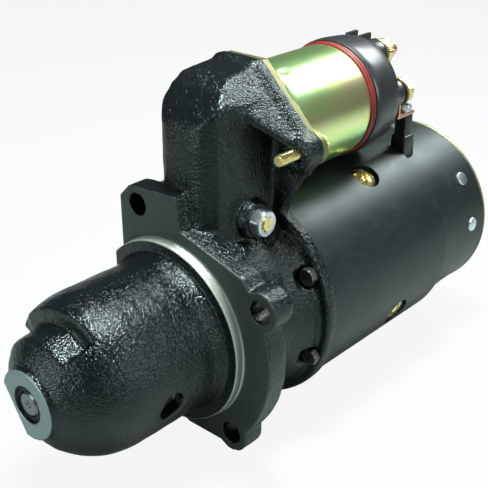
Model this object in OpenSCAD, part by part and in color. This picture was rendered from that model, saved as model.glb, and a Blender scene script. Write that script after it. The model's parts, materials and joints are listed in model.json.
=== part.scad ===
// Heavy-duty direct-drive starter motor with a solenoid and a shift lever.
// Frame: X runs along the armature, with the nose towards -X; the solenoid is towards +Z.
// The origin is the centre of the mounting flange's front face, on the armature axis.

/* [Mounting flange and pilot] */
// Radius of the pilot that centres the motor in the bell housing
pilot_r = 46.05; // [44:0.05:48]
// Length of the pilot in front of the flange
pilot_len = 5; // [3:0.5:7]
// Thickness of the mounting flange
flange_t = 12.7; // [10:0.1:15]
// Radius of the round part of the flange
flange_r = 61.2; // [59:0.1:64]
// Distance from the axis to the flange's cut side
flange_cut_y = 33; // [30:0.5:38]
// Radius of the mounting holes
bolt_hole_r = 5.5; // [5:0.1:6.5]
// Radius of the metal round each mounting hole
flange_ear_r = 9.6; // [9:0.1:11]

/* [Nose] */
// Outer radius of the nose barrel
nose_r = 38.3; // [37:0.1:40]
// Wall of the nose barrel
nose_wall = 7.2; // [5:0.1:8]
// Length of the nose in front of the flange face
nose_len = 86; // [84:0.5:92]
// Length of the rounded tip of the nose
dome_len = 38; // [34:0.5:40]
// Radius of the machined face at the tip
boss_face_r = 16.5; // [14:0.5:18]
// Distance from the axis to the tip's cut side
tip_cut = 10.8; // [10.5:0.1:14]
// Direction the tip's cut side faces, in degrees from +Y towards +Z
tip_cut_angle = -32; // [-45:1:-20]
// Lowest angle of the ring gear window
window_from = -85; // [-95:1:-70]
// Highest angle of the ring gear window
window_to = 25; // [10:1:35]
// Radius of the drain hole in the nose
drain_r = 6.5; // [4:0.5:8]

/* [Housing body] */
// Outer radius of the housing behind the flange
body_r = 47; // [46:0.5:49]
// Wall of the housing behind the flange
body_wall = 7; // [5:0.5:8]
// Outer radius of the rim that holds the motor frame
rim_r = 56.6; // [56:0.1:58]
// Front face of the rim
rim_x = 49; // [47:0.5:50]
// Depth that the frame goes into the rim
rim_depth = 4.5; // [3:0.5:7]

/* [Lever tower] */
// Half width of the tower
tower_half = 19.5; // [18.5:0.1:21]
// Centre of the tower's round hollow along the axis
tower_x = 27; // [26:0.5:28]
// Wall of the tower
tower_wall = 7; // [5:0.5:7.5]
// Distance from the outside of the housing body to the lever's pivot
pivot_rise = 5; // [3:0.5:7]
// Place of the lever's pivot along the axis
pivot_x = 34; // [33:0.5:35]
// Radius of the pivot bolt
pivot_r = 4; // [3:0.1:5]
// Thickness of the pad that the solenoid bolts to
pad_t = 7; // [5:0.5:8]

/* [Motor frame] */
// Outer radius of the motor frame
frame_r = 55; // [54:0.1:55.8]
// Wall of the motor frame
frame_wall = 9.5; // [8:0.5:10]
// Rear end of the motor frame
frame_end = 157.8; // [156:0.1:165]
// Place of the pole screws along the axis
pole_x = 120; // [116:1:124]
// Angle of the first pole from +Y towards +Z
pole_angle = 26; // [20:1:32]
// Radius of a pole screw's head
pole_head_r = 8; // [6:0.1:9]
// Length of a pole shoe
pole_len = 56; // [50:1:60]

/* [Commutator end] */
// Outer radius of the commutator end housing
end_r = 51.6; // [50.8:0.1:54]
// Length of the commutator end housing
end_len = 47.4; // [45:0.1:52]
// Thickness of the plate that closes it
end_plate_t = 2.2; // [1.5:0.1:3]
// Distance that the end plate's rim stands out past the housing
end_plate_lip = 0.4; // [0:0.1:1]
// Radius of a brush holder screw's head
holder_head_r = 4; // [3:0.1:5]
// Radius of the commutator
comm_r = 22; // [20:0.5:24]

/* [Armature and drive] */
// Radius of the shaft under the drive
shaft_r = 9; // [8.5:0.1:9.5]
// Radius of the shaft in the nose bushing
nose_journal_r = 6; // [5:0.1:6.5]
// Radius of the shaft in the rear bushing
rear_journal_r = 7; // [6:0.1:8]
// Thickness of a pole shoe
pole_t = 9.5; // [8:0.1:11]
// Air gap between the armature core and the pole shoes
air_gap = 0.8; // [0.4:0.1:1.5]
// Tooth count of the pinion
pinion_teeth = 11; // [9:1:12]
// Module of the pinion's teeth
pinion_module = 3; // [2.75:0.05:3.1]
// Width of the pinion's teeth along the axis
pinion_w = 22; // [18:0.5:24]
// Radius of the clutch shell
clutch_r = 22.5; // [21.5:0.5:24]
// Distance that the drive slides to reach the ring gear
drive_travel = 17; // [14:0.5:17]

/* [Solenoid] */
// Gap between the motor frame and the solenoid case
sol_gap = 2.2; // [1.5:0.1:4]
// Outer radius of the solenoid case
case_r = 29.3; // [28.5:0.1:30]
// Wall of the solenoid case
case_wall = 2.2; // [1.5:0.1:3]
// Length of the solenoid case
case_len = 54; // [52:0.5:58]
// Thickness of the solenoid's own flange
sol_flange_t = 3.5; // [2.5:0.1:5]
// Radius of the plunger
plunger_r = 11; // [10:0.1:12]
// Radius of the solenoid's mounting bolts
sol_bolt_r = 3; // [2.5:0.1:3.5]
// Distance from the solenoid's axis to each mounting bolt
sol_bolt_y = 35.3; // [34:0.1:37]

/* [Solenoid cap and terminals] */
// Largest radius of the cap
cap_r = 31.2; // [30:0.1:31.4]
// Length of the cap's wide part
cap_len = 21.5; // [19:0.5:26]
// Radius of the cap's rear part
cap_rear_r = 18.5; // [16:0.5:20]
// Length of the cap's rear part
cap_rear_len = 8; // [6:0.5:12]
// Radius of the two large terminal studs
stud_r = 4; // [3.5:0.1:5]
// Distance across the flats of a terminal nut
nut_af = 13; // [12:0.5:15]

/* [Clearances] */
// Radial clearance of a shaft in its bushing
running_fit = 0.04; // [0.02:0.01:0.08]
// Radial gap between pieces that slip together
slip_gap = 0.05; // [0.03:0.01:0.1]
// Gap between a sliding piece and its guide
slide_gap = 0.3; // [0.2:0.05:0.5]

/* [Hidden] */
$fn = 96;

// Places of the three mounting holes as [y, z]
flange_holes = [[21, 58.5], [-55, 29], [-37.5, -43.5]];
// Top of the flange's upper tab
tab_top_z = 69;
// Slanted upper edge of the flange, from the tab to the right ear
tab_foot_z = 51;
ear_top_z = flange_holes[1][1] + flange_ear_r;

// Heights that follow from the pieces below them
pivot_z = body_r + pivot_rise;
sol_z = frame_r + sol_gap + case_r;

// Housing
nose_in_r = nose_r - nose_wall;
hub_x = -70;
hub_r = 13;
bushing_wall = 2;
nose_bushing_r = nose_journal_r + bushing_wall;
barrel_end_x = -(nose_len - dome_len);
face_bevel_depth = 1.5;
notch_x = -63.5;
notch_end_x = -78;
notch_r = 28.1;
notch_end_r = 26.3;
notch_to_angle = 125;
barrel_flare = 3;
barrel_flare_len = 12;
window_front_x = -62;
window_in_r = 24;
window_rear_x = -pilot_len - 3;
drain_x = -36;
drain_angle = 195;
body_in_r = body_r - body_wall;
body_front_x = 8;
web_t = 3;
frame_x = rim_x + web_t;
rim_end_x = frame_x + rim_depth;
tower_in_r = tower_half - tower_wall;
tower_front_x = tower_x - tower_half;
// Half outline of the tower from above, as [distance behind its front, half width]
tower_plan = [[0, 8], [1.5, 12], [7.5, tower_half - 2], [21.5, tower_half]];
// Slope of the tower's hood, as [distance behind its front, height above the solenoid's axis]
tower_hood = [[0, 12], [2.5, 16.5], [14.5, 27], [22.5, 30.5], [43.5, 33.5]];
// Upper edge of the solenoid's pad, as [y, height above the solenoid's axis]
pad_top = [[-42.5, 0], [-7, 35], [17, 35], [41, 9]];
lid_t = 5;
roof_drop = 2;
pad_x = 50;
pad_end_x = pad_x + pad_t;
ear_front_x = pad_x - 4;
sol_bolt_z = -2.3;
pivot_boss_r = 9;
pivot_boss_y = tower_half + 4.5;
pivot_nut_af = 12;
pivot_nut_t = 6;
housing_screw_r = 2.5;
housing_screw_at = (frame_r + frame_r - frame_wall) / 2 + 1;
housing_screw_angles = [21, 151, 201, 331];
housing_screw_end_x = frame_x + 9;

// Motor
frame_in_r = frame_r - frame_wall;
plate_t = 5;
center_hub_r = 14;
center_bushing_r = shaft_r + bushing_wall;
center_from = frame_x - 2;
center_to = frame_x + 8;
pole_from = pole_x - pole_len / 2;
pole_to = pole_x + pole_len / 2;
pole_in_r = frame_in_r - pole_t;
core_r = pole_in_r - air_gap;
pole_half_angle = 28;
pole_hole_r = 4.8;
pole_seat_r = frame_r - 4;
coil_margin = 8;
coil_end_gap = 0.5;
coil_half_angle = 40;
coil_t = 6.5;
coil_in_r = frame_in_r - coil_t;
poles = [for (i = [0:3]) pole_angle + 90 * i];

// Commutator end
end_in_r = end_r - 7.6;
end_x = frame_end + end_len;
end_wall_t = 5;
end_plate_r = end_r + end_plate_lip;
end_hub_r = 15;
rear_bushing_r = rear_journal_r + 3;
rear_from = end_x - 14;
rear_to = end_x - 1.5;
register_len = 3.5;
register_gap = 0.1;
end_screw_r = 2;
end_screw_at = (end_in_r + end_r) / 2 + 0.2;
end_screw_len = 9;
end_screw_angles = [for (i = [0:3]) 24.5 + 90 * i];
brush_angles = [for (i = [0:3]) 159.5 + 90 * i];
brush_x = 166;
brush_len = 14;
brush_half = 5;
brush_h = 12;
brush_travel = 4;
holder_wall = 2;
holder_from = 26;
holder_base_half = 15;
holder_base_t = 2;
brush_gap = 0.15;
holder_base_to = sqrt(pow(end_in_r - 0.2, 2) - pow(holder_base_half, 2));
holder_screw_r = 2;
holder_screw_spread = 15.5;
comm_from = 160;
comm_to = 186;
holder_base_end = brush_x + 31;
holder_screw_x = holder_base_end - 5;
comm_bars = 28;

// Armature
core_shaft_r = shaft_r + 1;
shaft_front_x = -(nose_len - 1);
core_slots = 16;
slot_w = 4;
slot_depth = 8;

// Drive, at rest
pinion_front_x = -24;
pinion_rear_x = pinion_front_x + pinion_w;
race_r = shaft_r + 5;
race_end_x = pinion_rear_x + 14;
shell_front_x = pinion_rear_x + 1;
shell_lip = 2;
shell_in_r = race_r + 4;
shell_back_x = race_end_x + 2;
shell_end_x = shell_back_x + 6;
roller_r = 1.85;
roller_count = 6;
sleeve_r = shaft_r + 3.5;
mesh_wire_r = 1.1;
mesh_coil_r = (sleeve_r + mesh_wire_r + slide_gap) / cos(22.5);
collar_r = 17;
groove_r = 14.2;
groove_w = 5;
collar_lip = 2.5;
lever_angle = asin(drive_travel / 2 / pivot_z);
groove_x = pivot_x + drive_travel / 2;
collar_from = groove_x - groove_w / 2 - collar_lip;
collar_to = groove_x + groove_w / 2 + collar_lip;
sleeve_ring_t = 1;
sleeve_end_x = collar_to + sleeve_ring_t;
stop_gap = 0.5;
stop_len = 8;
stop_x = pinion_front_x - drive_travel - stop_gap;
stop_ring_t = 1.3;

// Lever
shoe_r = groove_w / 2 - slide_gap;
arm_in_y = collar_r + 0.8;
arm_t = 3.7;
arm_w = 8;
lever_gap = 1.2;
bridge_to_z = sqrt(pow(body_in_r - lever_gap, 2) - pow(arm_in_y + arm_t, 2));
bridge_from_z = bridge_to_z - 6;
hub_half_y = tower_in_r - 0.8;
upper_arm_len = sol_z - pivot_z;

// Solenoid
plunger_travel = 2 * upper_arm_len * tan(lever_angle);
pin_x = pivot_x - plunger_travel / 2;
pin_r = 3;
cheek_in = 3.5;
cheek_out = 7;
cheek_half_z = 6;
plunger_from = 44;
plunger_to = 90;
sol_face_x = pad_end_x;
case_x = sol_face_x + sol_flange_t;
case_end = case_x + case_len;
case_in_r = case_r - case_wall;
bobbin_in_r = plunger_r + slide_gap;
bobbin_wall = 1;
bobbin_flange_t = 1.5;
core_face_x = plunger_to + plunger_travel + 0.4;
core_plate_x = core_face_x + 1.2;
core_plate_end = case_end - 2.5;
winding_split_r = 19;
rod_r = 2.5;
rod_hole_r = rod_r + slide_gap;
contact_travel = 2.5;
spring_bore_r = 7;
spring_bore_x = 70;
seal_x = case_end;
seal_w = 2;
cap_x = case_end + 4;
cap_step_x = cap_x + cap_len;
cap_end_x = cap_step_x + cap_rear_len;
cap_wall = 4;
disc_r = 21;
disc_t = 3;
disc_x = cap_x + 6;
contact_gap = contact_travel + 0.1;
head_x = disc_x + disc_t + contact_gap;
stud_head_r = 6;
stud_head_t = 4;
rod_tail = 6;
disc_spring_end = head_x + stud_head_t + 6;
nut_t = 6.5;
washer_t = 1.5;
washer_r = 8;
rib_y = [-3, 5.5];
rib_len = cap_rear_len + 1;
rib_top_r = cap_r - 1;
// Terminal studs as [y, z from the solenoid's axis, how far the stud stands out]
battery_at = [-7.2, 19.5, 15.5];
motor_at = [-20.5, 0.5, 12.5];
switch_at = [12, -8, 9];
switch_r = 2.5;
// A stud is this much thinner inside the cap and its nut than at its free end
stud_relief = 0.3;
small_nut_t = 4;
small_nut_af = 8;

// Field terminal on the commutator end housing
block_x = frame_end + 5.7;
block_y = -18;
block_half = 3.8;
block_foot_half = 5;
block_top_z = 71.5;
block_foot_top_z = 59.5;
strap_t = 1.6;
strap_w = 8;
strap_screw_r = 2;

// A cylinder along X from x0 to x1
module xcyl(x0, x1, r) { translate([x0, 0, 0]) rotate([0, 90, 0]) cylinder(h = x1 - x0, r = r); }

// A cylinder along Y from y0 to y1
module ycyl(y0, y1, r) { translate([0, y1, 0]) rotate([90, 0, 0]) cylinder(h = y1 - y0, r = r); }

// A tube along X
module xtube(x0, x1, r_out, r_in) {
    difference() {
        xcyl(x0, x1, r_out);
        xcyl(x0 - 1, x1 + 1, r_in);
    }
}

// A solid of revolution round X, from [radius, x] points
module xturned(points) { rotate([0, 90, 0]) rotate_extrude() polygon(points); }

// An outline in Y and Z, drawn out along X
module xprism(x0, x1) { translate([x0, 0, 0]) rotate([90, 0, 90]) linear_extrude(x1 - x0) children(); }

// A pie slice along X between two angles, measured from +Y towards +Z
module xwedge(x0, x1, a0, a1, r = 90) {
    steps = ceil((a1 - a0) / 30);
    xprism(x0, x1) polygon(concat([[0, 0]],
        [for (i = [0:steps]) let (a = a0 + (a1 - a0) * i / steps) [r * cos(a), r * sin(a)]]));
}

// A hexagon along X, with a flat distance af
module xhex(x0, x1, af) { translate([x0, 0, 0]) rotate([0, 90, 0]) cylinder(h = x1 - x0, r = af / sqrt(3),
    $fn = 6); }

// Moves children out from the X axis to a radius, at an angle from +Y towards +Z
module around(angle, radius) { translate([0, radius * cos(angle), radius * sin(angle)]) children(); }

// Turns a piece drawn along +Z at y = 0 so that +Z points out at an angle from +Y
module outward(angle) { rotate([angle - 90, 0, 0]) children(); }

// Moves children to the solenoid's axis
module on_solenoid() { translate([0, 0, sol_z]) children(); }

// A spring along X: one unbroken tube from x0 to x1
module xspring(x0, x1, coil_r, wire_r, curls) {
    rings = 8 * curls;
    sides = 6;
    pitch = (x1 - x0 - 2 * wire_r) / curls;
    points = [for (i = [0:rings]) let (a = 45 * i)
        for (k = [0:sides - 1]) let (b = 60 * k, r = coil_r + wire_r * cos(b))
            [x0 + wire_r + pitch * i / 8 + wire_r * sin(b), r * cos(a), r * sin(a)]];
    walls = [for (i = [0:rings - 1], k = [0:sides - 1]) let (
        a = i * sides + k, b = i * sides + (k + 1) % sides, c = a + sides, d = b + sides)
        each [[a, c, d], [a, d, b]]];
    first = [for (k = [1:sides - 2]) [0, k, k + 1]];
    last = [for (k = [1:sides - 2]) [rings * sides, rings * sides + k + 1, rings * sides + k]];
    polyhedron(points, concat(walls, first, last));
}

// Outline of the mounting flange
module flange_outline() {
    slant = [[-13, tab_foot_z], [flange_holes[1][0] - 2, ear_top_z - 0.2]];
    intersection() {
        circle(r = flange_r, $fn = 180);
        polygon([[flange_cut_y, -49], [flange_cut_y, tab_foot_z], slant[0], slant[1],
            [-80, ear_top_z - 5], [-80, -51.4], [-38, -51.4]]);
    }
    polygon([[flange_cut_y, 30], [flange_cut_y, tab_top_z - 8.5], [26.5, tab_top_z - 2],
        [-4.5, tab_top_z], [-7, tab_foot_z + 1.5], slant[0], [-13, 30]]);
    for (i = [1, 2]) translate(flange_holes[i]) circle(r = flange_ear_r);
}

// Outline of the pad that the solenoid bolts to, about the solenoid's axis
module pad_outline() {
    polygon(concat(pad_top, [[41, -7], [27, -30], [24, -38], [-24, -38],
        [-27, -30], [-34.5, -17], [-41, -10]]));
    for (s = [-1, 1]) translate([s * sol_bolt_y, s * -sol_bolt_z]) circle(r = flange_ear_r - 0.6);
}

// Outline of the solenoid's own flange, about the solenoid's axis
module sol_flange_outline() {
    polygon([[-6.5, 34], [16.5, 34], [40, 8], [40, -6], [20, -28], [-20, -28], [-34, -16.5], [-41.5, -1]]);
}

// Moves children to both mounting bolts of the solenoid
module at_sol_bolts() {
    for (s = [-1, 1]) translate([0, s * sol_bolt_y, sol_z - s * sol_bolt_z]) children();
}

// Tower round the lever: its plan, cut by the slope of its hood and by the pad's upper edges
module tower() {
    low_z = body_in_r - sol_z;
    intersection() {
        translate([tower_front_x, 0, body_in_r]) linear_extrude(sol_z) polygon(concat(tower_plan,
            [[pad_x + 1 - tower_front_x, tower_half], [pad_x + 1 - tower_front_x, -tower_half]],
            [for (i = [3:-1:0]) [tower_plan[i][0], -tower_plan[i][1]]]));
        translate([tower_front_x, 90, sol_z]) rotate([90, 0, 0]) linear_extrude(180)
            polygon(concat([[0, low_z]], tower_hood, [[60, tower_hood[4][1]], [60, low_z]]));
        on_solenoid() translate([0, 0, -roof_drop]) xprism(tower_front_x, pad_x + 1)
            polygon(concat([[-90, -47.5]], pad_top, [[90, -40], [90, -90], [-90, -90]]));
    }
}

// The lid between the tower's roof and one slanted edge of the pad, over the solenoid's bolt
module pad_lid(side) {
    s = side == 0 ? -1 : 1;
    drop = [0, -roof_drop];
    roof = (side == 0 ? pad_top[1] : pad_top[2]) + drop;
    ear = (side == 0 ? pad_top[0] : pad_top[3]) + drop;
    slope = (roof[1] - ear[1]) / (ear[0] - roof[0]);
    wall_z = roof[1] - slope * (s * tower_half - roof[0]);
    on_solenoid() hull() {
        xprism(pad_x - 1, pad_x)
            polygon([roof, ear, [ear[0] - 2.5 * s, ear[1] - 3.5], [roof[0], roof[1] - lid_t]]);
        xprism(tower_front_x + 21, tower_front_x + 22) polygon([[roof[0], tower_hood[3][1]],
            [s * tower_half, wall_z - 1.5], [s * tower_half, wall_z - 1.5 - lid_t],
            [roof[0], tower_hood[3][1] - lid_t]]);
    }
}

module housing_outside() {
    dome_r = dome_len + 2;
    dome_in = nose_r - dome_r;
    arc = [for (i = [0:8]) let (a = 90 - i * 7.9)
        [dome_in + dome_r * sin(a), barrel_end_x - dome_r * cos(a)]];
    xturned(concat([[0, flange_t], [nose_r, flange_t]], arc,
        [[boss_face_r, -nose_len], [0, -nose_len]]));
    // The pilot is left off beside the window
    intersection() {
        xcyl(-pilot_len, flange_t, pilot_r, $fn = 180);
        translate([-50, -90, -90]) cube([100, 90 + flange_cut_y, 180]);
    }
    xturned([[0, -barrel_flare_len], [nose_r, -barrel_flare_len], [nose_r + barrel_flare, 0], [0, 0]]);
    xprism(0, flange_t) flange_outline();
    xcyl(flange_t / 2, rim_x + 1, body_r);
    xturned([[0, rim_x - 13], [body_r, rim_x - 13], [body_r + 4, rim_x - 3], [body_r + 4, rim_x],
        [0, rim_x]]);
    xcyl(rim_x, rim_end_x, rim_r);
    tower();
    for (side = [0, 1]) pad_lid(side);
    on_solenoid() xprism(pad_x, pad_end_x) pad_outline();
    at_sol_bolts() xcyl(ear_front_x, pad_x + 1, flange_ear_r - 0.6);
    translate([pivot_x, 0, pivot_z]) ycyl(-pivot_boss_y, pivot_boss_y, pivot_boss_r);
}

module drive_housing() {
    color([0.1, 0.11, 0.11]) difference() {
        housing_outside();
        // Inside of the nose, with the hub that holds the bushing
        xturned([[0, body_front_x + 1], [nose_in_r, body_front_x + 1], [nose_in_r, -57], [24.5, -63],
            [22, hub_x], [hub_r + 3, hub_x - 4], [hub_r, hub_x], [0, hub_x]]);
        xcyl(body_front_x, frame_x + 1, body_in_r);
        xcyl(frame_x, rim_end_x + 1, frame_r + slip_gap);
        // Bushing bore and its counterbore
        xcyl(-nose_len - 1, hub_x + 1, nose_bushing_r);
        xcyl(-nose_len - 1, -nose_len + face_bevel_depth, nose_bushing_r + 0.9);
        // Window for the ring gear
        intersection() {
            xtube(window_front_x, window_rear_x, nose_r + 20, window_in_r);
            xwedge(window_front_x - 1, window_rear_x + 1, window_from, window_to);
        }
        // Flat cut on the far side of the tip
        rotate([tip_cut_angle, 0, 0]) translate([-nose_len - 1, tip_cut, -60])
            cube([nose_len + window_front_x + 1, 60, 120]);
        // Notch in the tip above the cut
        intersection() {
            xturned([[notch_end_r, notch_end_x], [nose_r + 5, notch_end_x], [nose_r + 5, notch_x],
                [notch_r, notch_x]]);
            xwedge(notch_end_x - 1, notch_x + 1, tip_cut_angle, notch_to_angle);
        }
        // Drain hole
        translate([drain_x, 0, 0]) outward(drain_angle) translate([0, 0, nose_in_r - 4])
            cylinder(h = nose_wall + 10, r = drain_r);
        // Inside of the tower
        translate([tower_x, 0, body_in_r - 12]) cylinder(h = sol_z + tower_in_r + 2 - body_in_r + 12,
            r = tower_in_r);
        translate([tower_x, -tower_in_r, body_in_r - 12])
            cube([pad_end_x + 1 - tower_x - 8, 2 * tower_in_r, sol_z + tower_in_r + 2 - body_in_r + 12]);
        on_solenoid() xcyl(pad_x - 12, pad_end_x + 1, tower_in_r + 2);
        // Holes for bolts and screws
        for (p = flange_holes) translate([0, p[0], p[1]]) xcyl(-1, flange_t + 1, bolt_hole_r);
        at_sol_bolts() xcyl(ear_front_x - 1, pad_end_x + 1, sol_bolt_r + slip_gap);
        at_sol_bolts() xcyl(ear_front_x - 20, ear_front_x, sol_bolt_r + slide_gap);
        translate([pivot_x, 0, pivot_z]) ycyl(-60, 60, pivot_r + slip_gap);
        for (a = housing_screw_angles) around(a, housing_screw_at) xcyl(rim_x - 1, frame_x + 1,
            housing_screw_r + slip_gap);
        for (a = housing_screw_angles) around(a, housing_screw_at) xcyl(rim_x - 8, rim_x, 5.4);
    }
}

module nose_bushing() {
    color([0.72, 0.5, 0.25]) xtube(-nose_len + face_bevel_depth, hub_x, nose_bushing_r,
        nose_journal_r + running_fit);
}

module pivot_bolt() {
    color([0.8, 0.7, 0.35]) translate([pivot_x, 0, pivot_z]) {
        ycyl(-pivot_boss_y - pivot_nut_t - 1, pivot_boss_y, pivot_r);
        ycyl(pivot_boss_y, pivot_boss_y + 5, 7);
    }
}

module pivot_nut() {
    color([0.82, 0.83, 0.84]) translate([pivot_x, -pivot_boss_y, pivot_z]) rotate([90, 0, 0]) difference() {
        cylinder(h = pivot_nut_t, r = pivot_nut_af / sqrt(3), $fn = 6);
        translate([0, 0, -1]) cylinder(h = pivot_nut_t + 2, r = pivot_r + slip_gap / 2);
    }
}

module housing_screws() {
    color([0.25, 0.26, 0.26]) for (a = housing_screw_angles) around(a, housing_screw_at) {
        xcyl(rim_x - 0.01, housing_screw_end_x, housing_screw_r);
        xhex(rim_x - 4, rim_x, 8);
    }
}

module center_bearing_plate() {
    color([0.3, 0.31, 0.32]) difference() {
        union() {
            xcyl(frame_x, frame_x + plate_t, frame_in_r - slip_gap);
            xcyl(center_from, center_to, center_hub_r);
        }
        xcyl(center_from - 1, center_to + 1, center_bushing_r);
    }
}

module center_bushing() {
    color([0.72, 0.5, 0.25]) xtube(center_from, center_to, center_bushing_r, shaft_r + running_fit);
}

module field_frame() {
    color([0.12, 0.14, 0.14]) difference() {
        xtube(frame_x, frame_end, frame_r, frame_in_r, $fn = 180);
        for (a = poles) translate([pole_x, 0, 0]) outward(a) {
            translate([0, 0, frame_in_r - 5]) cylinder(h = 20, r = pole_hole_r + slip_gap);
            translate([0, 0, pole_seat_r]) cylinder(h = 10, r = pole_head_r + 0.5);
        }
        for (a = housing_screw_angles) around(a, housing_screw_at)
            xcyl(frame_x - 1, housing_screw_end_x + 1, housing_screw_r + slip_gap);
        for (a = end_screw_angles) around(a, end_screw_at)
            xcyl(frame_end - end_screw_len - 1, frame_end + 1, end_screw_r + slip_gap);
    }
}

module pole_shoes() {
    color([0.35, 0.36, 0.37]) for (a = poles) difference() {
        intersection() {
            xtube(pole_from, pole_to, frame_in_r - slip_gap, pole_in_r);
            xwedge(pole_from - 1, pole_to + 1, a - pole_half_angle, a + pole_half_angle);
        }
        translate([pole_x, 0, 0]) outward(a) translate([0, 0, pole_in_r + 2]) cylinder(h = 20,
            r = pole_hole_r + slip_gap);
    }
}

module pole_screws() {
    color([0.82, 0.66, 0.32]) for (a = poles) translate([pole_x, 0, 0]) outward(a) difference() {
        union() {
            translate([0, 0, pole_in_r + 3]) cylinder(h = pole_seat_r - pole_in_r - 2.9, r = pole_hole_r);
            translate([0, 0, pole_seat_r]) cylinder(h = 3.2, r = pole_head_r);
        }
        for (t = [0, 90]) rotate([0, 0, t]) translate([-5.5, -1.2, pole_seat_r + 1.4]) cube([11, 2.4, 3]);
    }
}

module field_coils() {
    color([0.72, 0.42, 0.2]) for (a = poles) intersection() {
        difference() {
            xtube(pole_from - coil_margin, pole_to + coil_margin - 3, frame_in_r - slide_gap, coil_in_r);
            xwedge(pole_from - coil_end_gap, pole_to + coil_end_gap, a - pole_half_angle - 1,
                a + pole_half_angle + 1);
        }
        xwedge(pole_from - 20, pole_to + 20, a - coil_half_angle, a + coil_half_angle);
    }
}

module end_housing() {
    color([0.1, 0.12, 0.12]) difference() {
        union() {
            xturned([[0, frame_end], [end_r, frame_end], [end_r, end_x], [0, end_x]]);
            xcyl(frame_end - register_len, frame_end + 1, frame_in_r - register_gap);
        }
        xcyl(frame_end - register_len - 1, end_x - end_wall_t, end_in_r - 1);
        xcyl(frame_end, end_x - end_wall_t, end_in_r);
        xcyl(end_x - end_wall_t - 1, end_x + 1, rear_bushing_r);
        for (a = end_screw_angles) around(a, end_screw_at) xcyl(frame_end - register_len - 1, end_x + 1,
            end_screw_r + slip_gap);
        for (a = brush_angles, s = [-1, 1]) translate([holder_screw_x, 0, 0])
            outward(a + s * holder_screw_spread)
            translate([0, 0, end_in_r - 3]) cylinder(h = 20, r = holder_screw_r + slip_gap);
    }
    color([0.1, 0.12, 0.12]) difference() {
        xcyl(rear_from, end_x - end_wall_t + 0.01, end_hub_r);
        xcyl(rear_from - 1, end_x, rear_bushing_r);
    }
}

module rear_bushing() {
    color([0.72, 0.5, 0.25]) xtube(rear_from, end_x, rear_bushing_r, rear_journal_r + running_fit);
}

module end_plate() {
    color([0.82, 0.78, 0.5]) difference() {
        xturned([[0, end_x], [end_plate_r, end_x], [end_plate_r, end_x + end_plate_t - 0.6],
            [end_plate_r - 0.6, end_x + end_plate_t], [0, end_x + end_plate_t]]);
        for (a = end_screw_angles) around(a, end_screw_at) xcyl(end_x - 1, end_x + end_plate_t + 1,
            end_screw_r + slip_gap);
    }
}

module end_screws() {
    color([0.82, 0.78, 0.5]) for (a = end_screw_angles) around(a, end_screw_at) {
        xcyl(frame_end - end_screw_len, end_x + end_plate_t, end_screw_r);
        difference() {
            xcyl(end_x + end_plate_t, end_x + end_plate_t + 2.2, 3.3);
            translate([end_x + end_plate_t + 1.2, -0.5, -4]) cube([2, 1, 8]);
        }
    }
}

module brush_holders() {
    color([0.62, 0.5, 0.3]) for (a = brush_angles) outward(a) difference() {
        union() {
            translate([brush_x - holder_wall, -brush_half - holder_wall, holder_from])
                cube([brush_len + 2 * holder_wall, 2 * (brush_half + holder_wall),
                    holder_base_to - holder_from]);
            translate([brush_x, -holder_base_half, holder_base_to - holder_base_t])
                cube([holder_base_end - brush_x, 2 * holder_base_half, holder_base_t]);
        }
        translate([brush_x - slide_gap, -brush_half - slide_gap, holder_from - 1])
            cube([brush_len + 2 * slide_gap, 2 * (brush_half + slide_gap),
                holder_base_to - holder_from - 1]);
        for (s = [-1, 1]) rotate([s * holder_screw_spread, 0, 0])
            translate([holder_screw_x, 0, holder_base_to - 6])
            cylinder(h = 20, r = holder_screw_r + slip_gap);
    }
}

module brush_holder_screws() {
    color([0.8, 0.81, 0.82]) for (a = brush_angles, s = [-1, 1])
        translate([holder_screw_x, 0, 0]) outward(a + s * holder_screw_spread) {
            translate([0, 0, holder_base_to - 0.5]) cylinder(h = end_r - holder_base_to + 0.6,
                r = holder_screw_r);
            translate([0, 0, end_r]) cylinder(h = 1, r = holder_head_r);
        }
}

// One carbon brush, pressed on the commutator
module brush(angle) {
    color([0.22, 0.2, 0.19]) outward(angle) translate([brush_x, -brush_half, comm_r + brush_gap])
        cube([brush_len, 2 * brush_half, brush_h]);
}
module brush_1() { brush(brush_angles[0]); }
module brush_2() { brush(brush_angles[1]); }
module brush_3() { brush(brush_angles[2]); }
module brush_4() { brush(brush_angles[3]); }

module brush_springs() {
    from = comm_r + brush_gap + brush_h + 0.1;
    to = holder_base_to - holder_base_t;
    color([0.7, 0.71, 0.72]) for (a = brush_angles) translate([brush_x + brush_len / 2, 0, 0]) outward(a)
        difference() {
        translate([0, 0, from]) cylinder(h = to - from - 0.1, r = brush_half - 1);
        translate([0, 0, from - 1]) cylinder(h = to - from + 2, r = brush_half - 2);
    }
}

module field_terminal_block() {
    foot_z = end_r - 8;
    color([0.06, 0.065, 0.07]) difference() {
        union() {
            translate([block_x - block_half, block_y - block_half, foot_z])
                cube([2 * block_half, 2 * block_half, block_top_z - foot_z]);
            translate([block_x - block_foot_half, block_y - block_foot_half, foot_z])
                cube([2 * block_foot_half, 2 * block_foot_half, block_foot_top_z - foot_z]);
        }
        xcyl(frame_end, end_x, end_r + 0.02);
        translate([block_x, block_y, block_top_z - 8]) cylinder(h = 10, r = strap_screw_r);
    }
}

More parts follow.
